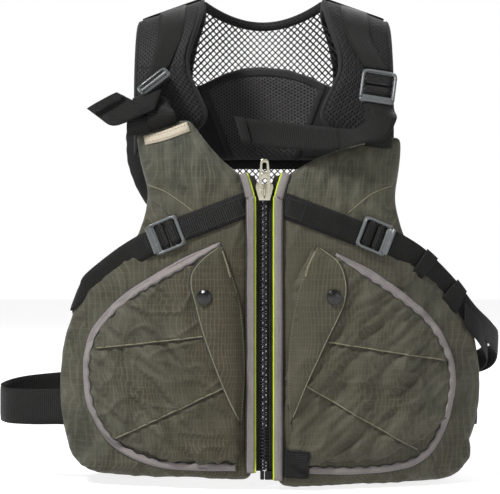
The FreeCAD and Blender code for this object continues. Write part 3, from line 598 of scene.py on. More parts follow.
def tube(name, points, radius, material, sides=8, flat=1.0, out=(0, -1, 0)):
    """A closed cord through points in mm. flat squeezes it towards out."""
    line = np.asarray(points, float)
    way = tangents(line)
    verts, uv, faces, run = [], [], [], 0.0
    for i, (p, t) in enumerate(zip(line, way)):
        normal = np.array(out, float) - np.dot(out, t) * t
        normal /= max(np.linalg.norm(normal), 1e-9)
        wide = np.cross(t, normal)
        run += 0 if i == 0 else np.linalg.norm(p - line[i - 1])
        for k in range(sides):
            angle = 2 * math.pi * k / sides
            verts.append((p + radius * (math.cos(angle) * wide
                                        + flat * math.sin(angle) * normal)) * MM)
            uv.append((k / sides * 2 * math.pi * radius * MM, run * MM))
    for i in range(len(line) - 1):
        for k in range(sides):
            a, b = i * sides + k, i * sides + (k + 1) % sides
            faces.append((a, b, b + sides, a + sides))
    faces.append(tuple(range(sides)))
    faces.append(tuple(range(len(verts) - 1, len(verts) - 1 - sides, -1)))
    return closed(name, verts, faces, material, uv)


def stitches(name, lines, material="thread", pitch=3.4, length=2.3, radius=0.36):
    """One mesh of separate stitches along lines of points in mm."""
    verts, faces, uv = [], [], []
    for line in lines:
        line = resample(line, pitch)
        for p, t in zip(line, tangents(line)):
            side = np.cross(t, (0, 1, 0))
            side /= max(np.linalg.norm(side), 1e-9)
            lift = np.cross(side, t)
            first = len(verts)
            for along, share in ((-0.5, 0.3), (-0.3, 1.0), (0.3, 1.0), (0.5, 0.3)):
                for k in range(6):
                    angle = math.pi * k / 3
                    ring = share * radius * (math.cos(angle) * side + math.sin(angle) * lift)
                    verts.append((p + t * along * length + ring) * MM)
                    uv.append((k * 0.0003, (along + 0.5) * length * MM))
            for r in range(3):
                for k in range(6):
                    a, b = first + r * 6 + k, first + r * 6 + (k + 1) % 6
                    faces.append((a, b, b + 6, a + 6))
            faces.append(tuple(range(first, first + 6)))
            faces.append(tuple(range(first + 23, first + 17, -1)))
    return closed(name, verts, faces, material, uv)


def on_skin(path, skin, lift, step=3.0, settle=2):
    """A line of (x, z) laid on a skin, as points in mm."""
    return lay(path, 0.02, skin, lift, columns=2, step=step, settle=settle).mean(1)


def own(obj, body, nodes=()):
    """Rides on a body and stands for nodes, which are hidden."""
    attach(obj, body)
    finish_piece(nodes)
    return obj


def bridge(obj, nodes=()):
    """Stays unparented with its transform baked in, and stands for nodes, which are hidden."""
    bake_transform(obj)
    finish_piece(nodes)
    return obj


def finish_piece(nodes):
    """Hides the nodes that a piece stands for."""
    if nodes:
        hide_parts(*nodes)


# --- Camera, light and floor -----------------------------------------------------------------------

# The sky is white near the horizon and dimmer away from it: sine of height from, to; light from, to.
SKY_BAND = (0.16, 0.34, 1.0, 0.20)
CAMERA_AT, CAMERA_LENS = (-0.0150, -1.80, 0.2517), 117
LAMPS_AIM = Vector((0, 0, 0.25))
# Name, place and size in metres, watts.
LAMPS = (("key", (-1.05, -1.2, 2.15), 0.5, 96), ("fill", (1.7, -1.6, 1.0), 1.6, 7),
         ("back", (0.3, 2.1, 1.8), 1.6, 30))


def stage():
    """Camera, floor, sky and lamps."""
    scene = bpy.context.scene
    scene.view_settings.view_transform = "Standard"
    camera = bpy.data.objects.new("Camera", bpy.data.cameras.new("Camera"))
    scene.collection.objects.link(camera)
    camera.location = CAMERA_AT
    camera.rotation_euler = (math.radians(90), 0, 0)
    camera.data.lens = CAMERA_LENS
    scene.camera = camera

    floor = mesh_from("floor", [(-6, -6, 0), (6, -6, 0), (6, 6, 0), (-6, 6, 0)], [(0, 1, 2, 3)], None)
    floor.location.z = -0.0006
    shader = Shader("pale_floor", rough=0.9, Emission_Color=(1, 1, 1, 1), Emission_Strength=0.8)
    at, _ = shader.coords("Object")
    shader.colour(shader.mix(shader.noise(at, 3, 2), (0.36, 0.36, 0.36), (0.38, 0.38, 0.38)))
    floor.data.materials.append(shader.mat)

    world = bpy.data.worlds.new("studio")
    scene.world = world
    world.use_nodes = True
    tree = world.node_tree
    kinds = ("TexCoord", "SeparateXYZ", "MapRange", "Math")
    made = {kind: tree.nodes.new("ShaderNode" + kind) for kind in kinds}
    made["Math"].operation = "ABSOLUTE"
    for socket, value in zip(made["MapRange"].inputs[1:5], SKY_BAND):
        socket.default_value = value
    tree.links.new(made["TexCoord"].outputs["Generated"], made["SeparateXYZ"].inputs[0])
    tree.links.new(made["SeparateXYZ"].outputs[2], made["Math"].inputs[0])
    tree.links.new(made["Math"].outputs[0], made["MapRange"].inputs[0])
    tree.links.new(made["MapRange"].outputs[0], tree.nodes["Background"].inputs[1])
    tree.nodes["Background"].inputs[0].default_value = (1, 1, 1, 1)
    for name, place, size, power in LAMPS:
        data = bpy.data.lights.new(name, "AREA")
        data.size, data.energy = size, power
        lamp = bpy.data.objects.new(name, data)
        scene.collection.objects.link(lamp)
        lamp.location = place
        lamp.rotation_euler = (LAMPS_AIM - Vector(place)).to_track_quat("-Z", "Y").to_euler()


# --- Front panels ----------------------------------------------------------------------------------

POCKET_BINDING = {
    "right": [(-46, 255), (-77, 239), (-118, 216), (-146, 198), (-168, 177), (-182, 157),
              (-188, 128), (-186, 99), (-178, 73), (-162, 50), (-141, 36), (-113, 27), (-86, 24),
              (-30, 24)],
    "left": [(74, 244), (110, 223), (146, 198), (173, 175), (192, 145), (199.5, 119), (197.5, 92),
             (191, 66), (178, 42), (161, 28), (139, 22), (98, 19), (45, 21)],
}
POCKET_SEAMS = {
    "right": ([(-176, 145), (-120, 152), (-62, 159)], [(-156, 51), (-100, 78), (-42, 106)]),
    "left": ([(66, 153), (125, 143), (190, 132)], [(43, 108), (100, 74), (161, 38)]),
}
FLAP_HINGE = {"right": [(-45, 253), (-34, 226), (-25, 197), (-21, 165), (-20, 120), (-24, 68)],
              "left": [(55, 252), (44, 234), (36, 213), (30, 188), (26, 160), (24, 113), (27, 70)]}
FLAP_EDGE = {"right": [(-45, 253), (-63, 240), (-75, 226), (-77, 212), (-73, 196), (-63, 159),
                       (-43, 107), (-24, 68)],
             "left": [(55, 252), (76, 237), (84, 220), (85, 202), (80, 185), (64, 153), (42, 107),
                      (27, 70)]}
SNAP_AT = {"right": (-62, 200), "left": (72, 200)}


def line_distance(x, z, line):
    """Signed distance from a polyline in the XZ plane, and how far along it, 0 to 1."""
    best = (1e9, 0.0, 0.0)
    for i, ((x0, z0), (x1, z1)) in enumerate(zip(line, line[1:])):
        dx, dz = x1 - x0, z1 - z0
        t = max(0, min(1, ((x - x0) * dx + (z - z0) * dz) / (dx * dx + dz * dz)))
        px, pz = x0 + t * dx - x, z0 + t * dz - z
        gap = math.hypot(px, pz)
        if gap < best[0]:
            best = (gap, math.copysign(1, dx * (z - z0) - dz * (x - x0)), (i + t) / (len(line) - 1))
    return best


def panel_uv(sign):
    """Depth behind the panel's face is taken off the width, so the weave runs on round the side."""
    return lambda x, y, z: (x - sign * (y - PANEL_FACE), z)


def front_panel(side, sign):
    """Foam panel in its cloth, with the pouch on it."""
    cloth = side + "_cloth"
    nodes = [side + "_front_cover", side + "_front_foam", side + "_front_lining"]
    panel = soft_from(side + "_panel", [side + "_front_foam"], 4.0, 7, 1.3, cloth)
    swell(panel, 4.0)
    refine(panel)
    seed = 40 * sign

    def panel_height(x, y, z, normal):
        ahead = max(0, -normal[1])
        fold = creases(x, y, z, 46, (1, 1, 0.7), seed) * 1.5
        fold += creases(x, y, z, 21, (1, 1, 0.8), seed + 9) * 0.6
        chest = math.exp(-((z - 312) / 34) ** 2) * clamp((abs(x) - 22) / 20)
        pucker = chest * 3.0 * folds(x, z, 90 - 14 * sign, 11, 60, seed + 2)
        skirt = 2.0 * math.exp(-((z - 14) / 16) ** 2) * folds(x, z, 90, 12, 30, seed + 4)
        rim = 1.6 * folds(x, z, 90 - 30 * sign, 20, 60, seed + 6) * clamp((abs(x) - 150) / 40)
        side_grow = 3.4 * max(0, sign * normal[0]) ** 2 * clamp((abs(x) - 90) / 30)
        wrinkles = (fold + pucker + skirt + rim) * (0.25 + 0.75 * ahead)
        return side_grow + (1.6 * swells(x, y, z, 60, seed) + wrinkles - 0.4)

    displace(panel, panel_height)
    set_uv(panel, panel_uv(sign))

    pouch = soft_from(side + "_pouch", [side + "_pocket"], 3.0, 5, 1.4, cloth)
    swell(pouch, 3.0)
    refine(pouch)
    seams = POCKET_SEAMS[side]

    def pouch_height(x, y, z, normal):
        lift = 1.5 * swells(x, y, z, 40, seed) + creases(x, y, z, 34, (1, 1, 1.3), seed + 3) * 2.0
        lift += 4.0 * folds(x, z, 90 - 32 * sign, 19, 75, seed + 8)
        lift += 2.2 * folds(x, z, 90 - 50 * sign, 8, 34, seed + 5)
        for line in seams:
            gap, way, t = line_distance(x, z, line)
            above = way > 0
            if 0.0 < t < 1.0 or gap < 3:
                lift += (1.3 if above else -1.6) * math.exp(-(gap / (7.0 if above else 3.2)) ** 2)
        return lift - 0.6

    displace(pouch, pouch_height)
    set_uv(pouch, panel_uv(sign))
    return panel, pouch, nodes


def pocket_trims(side, sign, skin):
    """Binding with its stitches and dark edge tubes of painted shade, and the seams' tan thread with a
    dark tube below as painted shadow of the tuck.
    """
    body = side + "_front"
    rows = lay(POCKET_BINDING[side], 8.4, skin, 1.0, columns=6, step=2.2, settle=3,
               spread=lambda t: min(1.0, 0.3 + t * 7) * (1.22 - 0.34 * min(1, t * 3)))
    inside = -1 if side == "right" else 0
    for i in range(len(rows)):
        rows[i, :, 1] += 0.5 * swells(i * 2.2, 0, 0, 9, 50 * sign)
        wave = 0.8 * math.sin(i * 0.95 + 1.6 * swells(i * 2.2, 0, 3, 30)) - 0.3
        inwards = rows[i, inside] - rows[i, 2]
        rows[i, inside] += inwards / np.linalg.norm(inwards) * wave * min(1.0, i / 14)
    own(band(side + "_pocket_binding", rows, 1.5, "binding", crown=0.5), body,
        [side + "_pocket_binding"])
    for k in (0, -1):
        edge = rows[:, k] + (rows[:, k] - rows[:, 2]) * 0.09 + (0, 0.7, 0)
        own(tube(f"{side}_binding_shade_{k}", edge, 0.55, "black_thread_and_painted_shade", 6), body)
        dots = rows[3:, 1 if k == 0 else -2] + (0, -1.15, 0)
        own(stitches(f"{side}_binding_stitches_{k}", [dots], "dots", 2.9, 1.3, 0.26), body)
    for i, line in enumerate(POCKET_SEAMS[side]):
        cord = on_skin([(x, z + 0.6) for x, z in line], skin, 0.35, 1.6)
        own(tube(f"{side}_pocket_seam_{i}", cord, 0.75, "thread", flat=0.7), body)
        # Painted shadow: a dark tube just under each seam, where the tuck shades the cloth.
        shade = on_skin([(x, z - 0.7) for x, z in line], skin, 0.0, 2.0)
        own(tube(f"{side}_pocket_tuck_shadow_{i}", shade, 0.6, "black_thread_and_painted_shade", 6, 0.5), body)


def evened(line, count):
    """The same line with this many points."""
    at, had = np.linspace(0, 1, count), np.linspace(0, 1, len(line))
    return np.column_stack([np.interp(at, had, line[:, k]) for k in (0, 1)])


def pocket_flap(side, sign, skin):
    """Crowned leaf held by the snap."""
    body = side + "_flap"
    count, across = 64, 12
    hinge, edge = (evened(resample(line[side], 3.2), count) for line in (FLAP_HINGE, FLAP_EDGE))
    rows = np.zeros((count, across, 3))
    for i in range(count):
        for j in range(across):
            t = j / (across - 1)
            x, z = hinge[i] * (1 - t) + edge[i] * t
            y = skin.y(x, z)
            rows[i, j] = x, (front_y(x, 9) if y is None else y), z
    for _ in range(6):
        ease(rows[:, :, 1], 1)
        ease(rows[:, :, 1].T, 1)
    for i in range(count):
        for j in range(across):
            x, _, z = rows[i, j]
            t, s = j / (across - 1), i / (count - 1)
            lift = 2.0 + 2.0 * math.sin(math.pi * min(1, t * 0.8 + 0.2)) * math.sin(math.pi * s)
            lift += 0.9 * creases(x, 0, z, 22, (1, 1, 0.5), 7 * sign) + 0.5 * swells(x, 0, z, 16)
            sx, sz = SNAP_AT[side]
            lift -= 1.2 * math.exp(-((x - sx) ** 2 + (z - sz) ** 2) / 110)
            rows[i, j, 1] -= lift
    leaf = band(side + "_flap_leaf", rows, 2.0, side + "_cloth")
    refine(leaf)
    set_uv(leaf, panel_uv(sign))
    own(leaf, body, [side + "_pocket_flap"])
    face = Skin([leaf])
    near = [tuple(edge[i] * 0.97 + hinge[i] * 0.03) for i in range(1, count - 1, 3)]
    own(tube(side + "_flap_cord", on_skin(near, face, 0.2, 2.0), 0.62, "thread", flat=0.8), body)
    near = [tuple(edge[i] * 0.04 + hinge[i] * 0.96) for i in range(1, count - 1, 2)]
    own(stitches(side + "_flap_seam", [on_skin(near, face, 0.25, 2.0)], "thread", 3.0, 2.1, 0.36), body)
    tack = [tuple(edge[i] * 0.08 + hinge[i] * 0.92) for i in range(2, 13, 2)]
    own(tube(side + "_flap_tack", on_skin(tack, face, 0.4, 1.6), 0.95, "thread", flat=0.7), body)
    shade = rows[:, -1] + (rows[:, -1] - rows[:, -2]) * 0.12 + (0, 1.4, 0)
    own(tube(side + "_flap_shade", shade, 0.8, "black_thread_and_painted_shade", 6), body)
    snap_cap(side, face)


def snap_cap(side, face):
    """Domed, enamelled cap with a rolled rim."""
    x, z = SNAP_AT[side]
    y = min(face.y(x + dx, z + dz) or 0 for dx in (-6, 0, 6) for dz in (-6, 0, 6))
    lean = math.asin(x / RADIUS)
    profile = [(0.0, 3.1), (2.2, 3.0), (4.3, 2.6), (5.8, 1.9), (6.6, 1.2), (7.0, 1.15), (7.6, 0.9),
               (7.9, 0.3), (7.8, -0.5), (7.2, -1.2), (0.0, -1.2)]
    turns = 40
    verts, faces = [], []
    for r, h in profile[1:-1]:
        for k in range(turns):
            angle = 2 * math.pi * k / turns
            verts.append((r * math.cos(angle), -h, r * math.sin(angle)))
    top, foot = len(verts), len(verts) + 1
    verts += [(0, -profile[0][1], 0), (0, -profile[-1][1], 0)]
    rings = len(profile) - 2
    for i in range(rings - 1):
        for k in range(turns):
            a, b = i * turns + k, i * turns + (k + 1) % turns
            faces.append((a, b, b + turns, a + turns))
    for k in range(turns):
        faces.append((top, (k + 1) % turns, k))
        last = (rings - 1) * turns
        faces.append((foot, last + k, last + (k + 1) % turns))
    cos, sin = math.cos(lean), math.sin(lean)
    placed = [((x + a * cos - b * sin) * MM, (y - 0.4 + a * sin + b * cos) * MM, (z + c) * MM)
              for a, b, c in verts]
    own(closed(side + "_snap_dome", placed, faces, "snap"), side + "_flap",
        [side + "_snap_cap"])


def front_trims(side, sign, skin):
    """Placket, piping, chest seam, reflective tape and darts."""
    body = side + "_front"
    foot = 18 if side == "right" else 10
    lean = [(0, foot), (0, 150), (0, 289), (0.9, 302), (3.4, 313), (8.2, 328)]

    def upright(offset, width, lift, columns=4):
        rows = lay([(sign * (offset + dx), z) for dx, z in lean], width, Level(), 0, columns, 3.0, 0)
        flat = [skin.y(sign * (offset + 10 + np.interp(z, [f[1] for f in lean], [f[0] for f in lean])), z)
                for z in rows[:, 0, 2]]
        flat = np.array([f if f is not None else front_y(20) for f in flat])
        ease(flat, 8)
        rows[:, :, 1] = flat[:, None] - lift
        return rows

    tape = upright(14.4, 8.0, 0.9, 5)
    for i in range(len(tape)):
        tape[i, :, 1] += 0.35 * swells(0, 0, tape[i, 0, 2], 14, 9 * sign)
        tape[i, :, 0] += 0.5 * swells(0, 9, tape[i, 0, 2], 40, 3 * sign)
    own(band(side + "_placket", tape, 1.3, "binding", crown=0.3), body,
        [side + "_placket_tape"])
    cord = upright(9.8, 1.0, 0.2, 2).mean(1)
    own(tube(side + "_lime_piping", cord, 1.15, "piping"), body,
        [side + "_placket_piping"])
    wall = upright(10.6, 1.0, -1.0, 2).mean(1)
    rows = np.stack([wall, wall * (1, 0, 1) + (0, -110, 0)], axis=1)
    own(band(side + "_placket_wall", rows, 0.8, "zip_tape", out=(-sign, 0, 0)), body)
    for k, off in enumerate((12.0, 14.4, 16.8)):
        seam = upright(off, 1.0, 1.95, 2).mean(1)
        own(stitches(f"{side}_placket_stitches_{k}", [seam[2:-1]], "dots", 2.6, 1.1, 0.24), body)
    edge = upright(18.9, 1.0, 0.3, 2).mean(1)
    own(tube(side + "_placket_shade", edge, 0.6, "black_thread_and_painted_shade", 6), body)

    chest = {"right": [(-122, 317), (-101, 308), (-73, 288)],
             "left": [(134, 316), (112, 307), (87, 287)]}[side]
    own(tube(side + "_chest_seam", on_skin(chest, skin, 0.2, 2.0), 0.55, "thread", flat=0.7), body)
    dart = {"right": [(-176, 47), (-177, 20)], "left": [(176, 36), (183, 8)]}[side]
    own(tube(side + "_hem_dart", on_skin(dart, skin, -0.1, 2.0), 0.6, "black_thread_and_painted_shade", flat=0.6), body)
    if side == "left":
        return
    dart = on_skin([(-123, 302), (-110, 295), (-98, 283)], skin, -0.1, 2.0)
    own(tube("right_chest_dart", dart, 0.6, "black_thread_and_painted_shade", flat=0.6), body)
    rows = lay([(-125.5, 363.5), (-104, 368), (-79, 377)], 10.5, skin, 0.9, columns=5, step=2.5, settle=6)
    own(band(side + "_reflective", rows, 1.0, "reflective"), body,
        [side + "_reflective_tape"])
    across = [(rows[:, k] + (0, -0.7, 0)) for k in (1, -2)]
    own(stitches(side + "_reflective_stitches", across, "thread", 3.2, 1.6, 0.26), body)


# --- Zip ---------------------------------------------------------------------------------------------

def tooth(x0, x1, y, z, tall, deep, verts, faces):
    """One moulded tooth: a bevelled block with a bulb at its tip."""
    first = len(verts)
    sections = ((x0, 0.75, 0.8), (x0 + (x1 - x0) * 0.15, 1.0, 1.0), (x0 + (x1 - x0) * 0.62, 0.9, 0.95),
                (x0 + (x1 - x0) * 0.8, 1.25, 1.0), (x1, 0.7, 0.8))
    ring = ((-1, -0.6), (-0.7, -1), (0.7, -1), (1, -0.6), (1, 0.6), (0.7, 1), (-0.7, 1), (-1, 0.6))
    for x, high, thick in sections:
        for a, b in ring:
            verts.append((x * MM, (y + b * deep / 2 * thick) * MM, (z + a * tall / 2 * high) * MM))
    for s in range(len(sections) - 1):
        for k in range(8):
            a, b = first + s * 8 + k, first + s * 8 + (k + 1) % 8
            faces.append((a, b, b + 8, a + 8))
    faces.append(tuple(range(first, first + 8)))
    faces.append(tuple(range(len(verts) - 1, len(verts) - 9, -1)))


def zip_half(side, sign):
    """Teeth, cord and tape of one side."""
    body, pitch, depth = side + "_front", 3.5, ZIP_DEPTH
    verts, faces = [], []
    first = 20 + (pitch / 2 if side == "left" else 0)
    for i in range(int((303 - first - 1.5) / pitch) + 1):
        tooth(sign * 4.5, -sign * 1.5, depth, first + i * pitch + 0.75, 1.9, 4.6, verts, faces)
    own(closed(side + "_teeth", verts, faces, "teeth"), body, [side + "_zip_teeth"])
    lean = [(0, 19), (0, 150), (0, 290), (1.5, 300), (5.5, 314), (9.5, 326)]
    line = resample([(sign * (6.4 + dx), z) for dx, z in lean], 3)
    rows = np.zeros((len(line), 4, 3))
    for i, (x, z) in enumerate(line):
        spread = 1 + 0.25 * max(0, (z - 290) / 36)
        for j in range(4):
            rows[i, j] = x + sign * (j - 1.5) * 3.0 * spread, depth + 0.25 * swells(x, 0, z, 12), z
    tape = band(side + "_tape", rows, 0.9, "zip_tape")
    own(tape, body, [side + "_zip_tape"])
    rib = [(sign * 5.6, depth - 0.9, z) for z in range(20, 292, 4)]
    own(tube(side + "_tape_cord", rib, 0.8, "zip_tape", flat=0.7), body)


def bevelled(name, polygon, holes, y0, y1, bevel, material):
    """A flat plate from an outline in X and Z, drawn from y0 to y1 with bevelled edges."""
    curve = bpy.data.curves.new(name, "CURVE")
    curve.dimensions, curve.fill_mode = "2D", "BOTH"
    curve.extrude = max(0.01, abs(y1 - y0) / 2 - bevel) * MM
    curve.bevel_depth, curve.bevel_resolution = bevel * MM, 2
    curve.offset = -bevel * MM
    for loop in [polygon] + list(holes):
        spline = curve.splines.new("POLY")
        spline.points.add(len(loop) - 1)
        for point, (x, z) in zip(spline.points, loop):
            point.co = (x * MM, z * MM, 0, 1)
        spline.use_cyclic_u = True
    holder = bpy.data.objects.new(name, curve)
    bpy.context.scene.collection.objects.link(holder)
    bpy.context.view_layer.update()
    mesh = bpy.data.meshes.new_from_object(holder.evaluated_get(bpy.context.evaluated_depsgraph_get()))
    bpy.data.objects.remove(holder)
    mesh.materials.clear()
    obj = link(name, mesh, material, smooth=False)
    mid = (y0 + y1) / 2
    points = coords(obj) / MM
    moved = np.column_stack([points[:, 0], mid - points[:, 2], points[:, 1]])
    set_coords(obj, moved * MM)
    tidy_normals(obj, 1e-6)
    return obj


def rounded(x0, z0, x1, z1, r, steps=5):
    """A rounded rectangle's outline."""
    points = []
    for cx, cz, start in ((x1 - r, z1 - r, 0), (x0 + r, z1 - r, 90), (x0 + r, z0 + r, 180),
                          (x1 - r, z0 + r, 270)):
        for k in range(steps + 1):
            a = math.radians(start + 90 * k / steps)
            points.append((cx + r * math.cos(a), cz + r * math.sin(a)))
    return points


def join(name, objs):
    """One mesh from several, with each one's material kept."""
    form = bmesh.new()
    mesh = bpy.data.meshes.new(name)
    for obj in objs:
        index = mesh.materials.find(obj.data.materials[0].name)
        if index < 0:
            mesh.materials.append(obj.data.materials[0])
            index = len(mesh.materials) - 1
        before = len(form.faces)
        form.from_mesh(obj.data)
        form.faces.ensure_lookup_table()
        for face in form.faces[before:]:
            face.material_index = index
        bpy.data.objects.remove(obj)
    form.to_mesh(mesh)
    form.free()
    whole = bpy.data.objects.new(name, mesh)
    bpy.context.scene.collection.objects.link(whole)
    return whole


def shade_by_angle(obj, degrees=38):
    """Smooth, but for edges sharper than this."""
    shade_smooth(obj.data)
    obj.data.set_sharp_from_angle(angle=math.radians(degrees))


def zip_hardware():
    """Slider with its crown, the pull, the box and the pin."""
    depth, rest = ZIP_DEPTH, 300.0
    shield = [(-5.6, 0), (5.6, 0), (7.2, 5), (9.2, 13), (9.0, 16.2), (6.8, 18.5), (3, 17.4), (0, 17.2),
              (-3, 17.4), (-6.8, 18.5), (-9.0, 16.2), (-9.2, 13), (-7.2, 5)]
    parts = []
    for i, (y0, y1) in enumerate(((-4.5, -2.9), (2.9, 4.5))):
        parts.append(bevelled(f"plate_{i}", [(x, z + rest) for x, z in shield], [], depth + y0,
                              depth + y1, 0.45, "metal"))
    wedge = [(0, 7.5), (3.4, 17), (-3.4, 17)]
    parts.append(bevelled("wedge", [(x, z + rest) for x, z in wedge], [], depth - 3, depth + 3, 0.3,
                          "metal"))
    crown = [(0, depth - 4.2, rest + 3.6), (0, depth - 6.6, rest + 4.2), (0, depth - 8.2, rest + 6.6),
             (0, depth - 8.6, rest + 9.6), (0, depth - 8.2, rest + 12.6), (0, depth - 6.6, rest + 15.0),
             (0, depth - 4.2, rest + 15.6)]
    parts.append(tube("crown", resample(crown, 1.2), 1.9, "metal", 12, 0.55, out=(1, 0, 0)))
    slider = join("zip_slider_body", parts)
    shade_by_angle(slider)
    own(slider, "slider", ["zip_slider"])

    pivot = rest + 9.5
    outline = [(-5.2, -2), (-2.9, -2.2), (-2.9, 1), (2.9, 1), (2.9, -2.2), (5.2, -2), (6.1, 4), (6.0, 13),
               (4.9, 24), (4.3, 31), (2.6, 33.4), (-2.6, 33.4), (-4.3, 31), (-4.9, 24), (-6.0, 13),
               (-6.1, 4)]
    windows = [rounded(-2.7, 3.2, 2.7, 13.5, 1.6), rounded(-2.3, 20.5, 2.3, 29.8, 1.7)]
    plate = bevelled("pull_plate", [(x, z + pivot) for x, z in outline],
                     [[(x, z + pivot) for x, z in w] for w in windows], depth - 6.8, depth - 4.8, 0.5,
                     "metal")
    ridge = bevelled("pull_ridge", [(x, z + pivot) for x, z in rounded(-3.3, 15, 3.3, 19, 1.4)], [],
                     depth - 7.3, depth - 6.4, 0.35, "metal")
    pull = join("zip_pull_tab", [plate, ridge])
    shade_by_angle(pull)
    own(pull, "pull", ["zip_pull"])

    box = bevelled("zip_retaining_box", rounded(0.3, 10, 9.8, 19, 1.2), [], depth - 2.8, depth + 2.8,
                   0.5, "teeth")
    shade_by_angle(box)
    own(box, "left_front", ["zip_box"])
    pin = bevelled("zip_insertion_pin", rounded(-4.4, 10, -0.2, 19, 0.9), [], depth - 1.8, depth + 1.8,
                   0.4, "teeth")
    shade_by_angle(pin)
    own(pin, "right_front", ["zip_pin"])


# --- Webbing and buckles ------------------------------------------------------------------------------

CHEST_BUCKLE = {"right": (-102, 264), "left": (115, 263)}
CHEST_SIZE = (35 / 40, 1, 33 / 37)
SHOULDER_BUCKLE = {"right": (-117, -75, 427, -38, -74), "left": (121, -74, 421, 9, -24)}


def turned(points, axis, degrees):
    """Rows of points turned about X, Y or Z through the origin."""
    c, s = math.cos(math.radians(degrees)), math.sin(math.radians(degrees))
    a, b = {"x": (1, 2), "y": (2, 0), "z": (0, 1)}[axis]
    points = np.array(points, float)
    pa, pb = points[..., a].copy(), points[..., b].copy()
    points[..., a], points[..., b] = c * pa - s * pb, s * pa + c * pb
    return points


def chest_place(side, sign):
    """Moves points from a buckle's own axes to the chest, mirrored on the right."""
    x, z = CHEST_BUCKLE[side]
    lift = 5.1
    lean = math.degrees(math.asin(x / (RADIUS + lift)))

    def place(points):
        points = np.array(points, float) * CHEST_SIZE
        if sign < 0:
            points = turned(points, "y", 180)
        points = turned(turned(points, "y", sign * 22), "z", lean)
        return points + np.array([x, front_y(x, lift), z])

    return place


def shoulder_place(side):
    """Moves points from a buckle's own axes to the shoulder."""
    x, y, z, roll, pitch = SHOULDER_BUCKLE[side]

    def place(points):
        points = turned(turned(turned(points, "y", 90), "x", pitch), "y", roll)
        return points + np.array([x, y, z])

    return place


def ladder_buckle(name, place, body, node):
    """Ladder lock: moulded frame, round bars and a wide ribbed lip."""
    window = rounded(-15.6, -15.2, 11.5, 15.2, 2)
    parts = [bevelled("frame", rounded(-20, -18.5, 20, 18.5, 4.5), [window], -1.9, 1.9, 0.8, "buckle")]
    for x, y, r in ((-8, 0.2, 1.6), (4.0, 0.2, 1.6), (12.8, -0.3, 2.0)):
        line = [(x, y, z) for z in np.linspace(-16.6, 16.6, 9)]
        parts.append(tube("bar", line, r, "buckle", 14))
    lip = np.zeros((12, 9, 3))
    for i, x in enumerate(np.linspace(12.6, 19.6, 12)):
        for j, z in enumerate(np.linspace(-17.2, 17.2, 9)):
            rise = 1.9 * ((x - 12.6) / 7) ** 2
            lip[i, j] = x, -1.9 - rise + 0.25 * math.cos(x * 3.2), z * (1 - 0.03 * max(0, x - 16))
    parts.append(band("lip", lip, 2.8, "buckle", out=(0, -1, 0), round_edge=0.3))
    nose = [(19.6, -3.6, z) for z in np.linspace(-15.6, 15.6, 12)]
    parts.append(tube("nose", nose, 1.6, "buckle", 12))
    rim = [(15, -2.4, 17.2), (8, -1.9, 17.2), (-8, -1.9, 17.2), (-14, -1.9, 17), (-17.4, -1.9, 14),
           (-18.2, -1.9, 8), (-18.2, -1.9, -8), (-17.4, -1.9, -14), (-14, -1.9, -17),
           (-8, -1.9, -17.2), (8, -1.9, -17.2), (15, -2.4, -17.2)]
    parts.append(tube("rim", resample(rim, 1.5), 1.75, "buckle", 12))
    buckle = join(name, parts)
    set_coords(buckle, place(coords(buckle) / MM) * MM)
    tidy_normals(buckle)
    shade_by_angle(buckle)
    own(buckle, body, [node])


def web_profile(name, profile, place, body, width, nodes=()):
    """Webbing that follows a profile in a buckle's own X and Y."""
    line = resample(profile, 1.6)
    rows = np.zeros((len(line), 6, 3))
    for i, (x, y) in enumerate(line):
        for j, z in enumerate(np.linspace(-width / 2, width / 2, 6)):
            rows[i, j] = x, y, z
    rows = place(rows)
    own(band(name, rows, 1.7, "webbing"), body, nodes)


def buckles():
    """Ladder locks on the chest and the shoulders, with the webbing threaded in them."""
    inner = [(-25, 2.8), (-19, 2.8), (-15.9, 1.6), (-14, -1.0), (-11, -2.3), (-7, -2.5), (-3.8, -1.8),
             (-2.6, 0.4), (-3, 2.2)]
    over = [(20, 3.0), (13, 2.9), (10.6, 1.6), (9, -0.8), (6.5, -2.2), (3, -2.5), (0.6, -1.6), (0, 0.6),
            (0.3, 2.0)]
    for side, sign in SIDES:
        place = chest_place(side, sign)
        ladder_buckle(side + "_chest_ladder", place, side + "_chest_lock", side + "_chest_buckle")
        web_profile(side + "_chest_loop", inner, place, side + "_chest_lock", 28.5)
        web_profile(side + "_chest_threading", over, place, side + "_chest_lock", 28,
                    [side + "_chest_web"])
        place = shoulder_place(side)
        ladder_buckle(side + "_shoulder_ladder", place, side + "_shoulder_lock",
                      side + "_shoulder_buckle")
        web_profile(side + "_shoulder_loop", inner, place, side + "_shoulder_lock", 28.5)
        web_profile(side + "_shoulder_threading", over, place, side + "_shoulder_lock", 28)


def chest_strap(side, sign, skin):
    """Webbing from the placket to the chest buckle, sewn down at its inner end."""
    body = side + "_front"
    reach = CHEST_BUCKLE[side][0] - sign * 17.5 * math.cos(math.radians(22))
    slope = math.tan(math.radians(20.5))
    path = [(sign * 17, 296), ((sign * 17 + reach) / 2, 296 - (abs(reach) - 17) / 2 * slope),
            (reach, 296 - (abs(reach) - 17) * slope)]
    rows = lay(path, 26, skin, 1.4, columns=7, step=2.5, settle=5)
    for i in range(len(rows)):
        rows[i, :, 1] -= 0.5 * max(0, (i / (len(rows) - 1) - 0.6) / 0.4) ** 2
    own(band(side + "_chest_web_strap", rows, 1.8, "webbing"), body, [side + "_chest_strap"])
    lines = [rows[2:11, 1] + (0, -1.0, 0), rows[2:11, -2] + (0, -1.0, 0), rows[3, 1:-1] + (0, -1.0, 0),
             rows[10, 1:-1] + (0, -1.0, 0)]
    own(stitches(side + "_chest_tack", lines, "black_thread_and_painted_shade", 2.6, 2.0, 0.3), body)


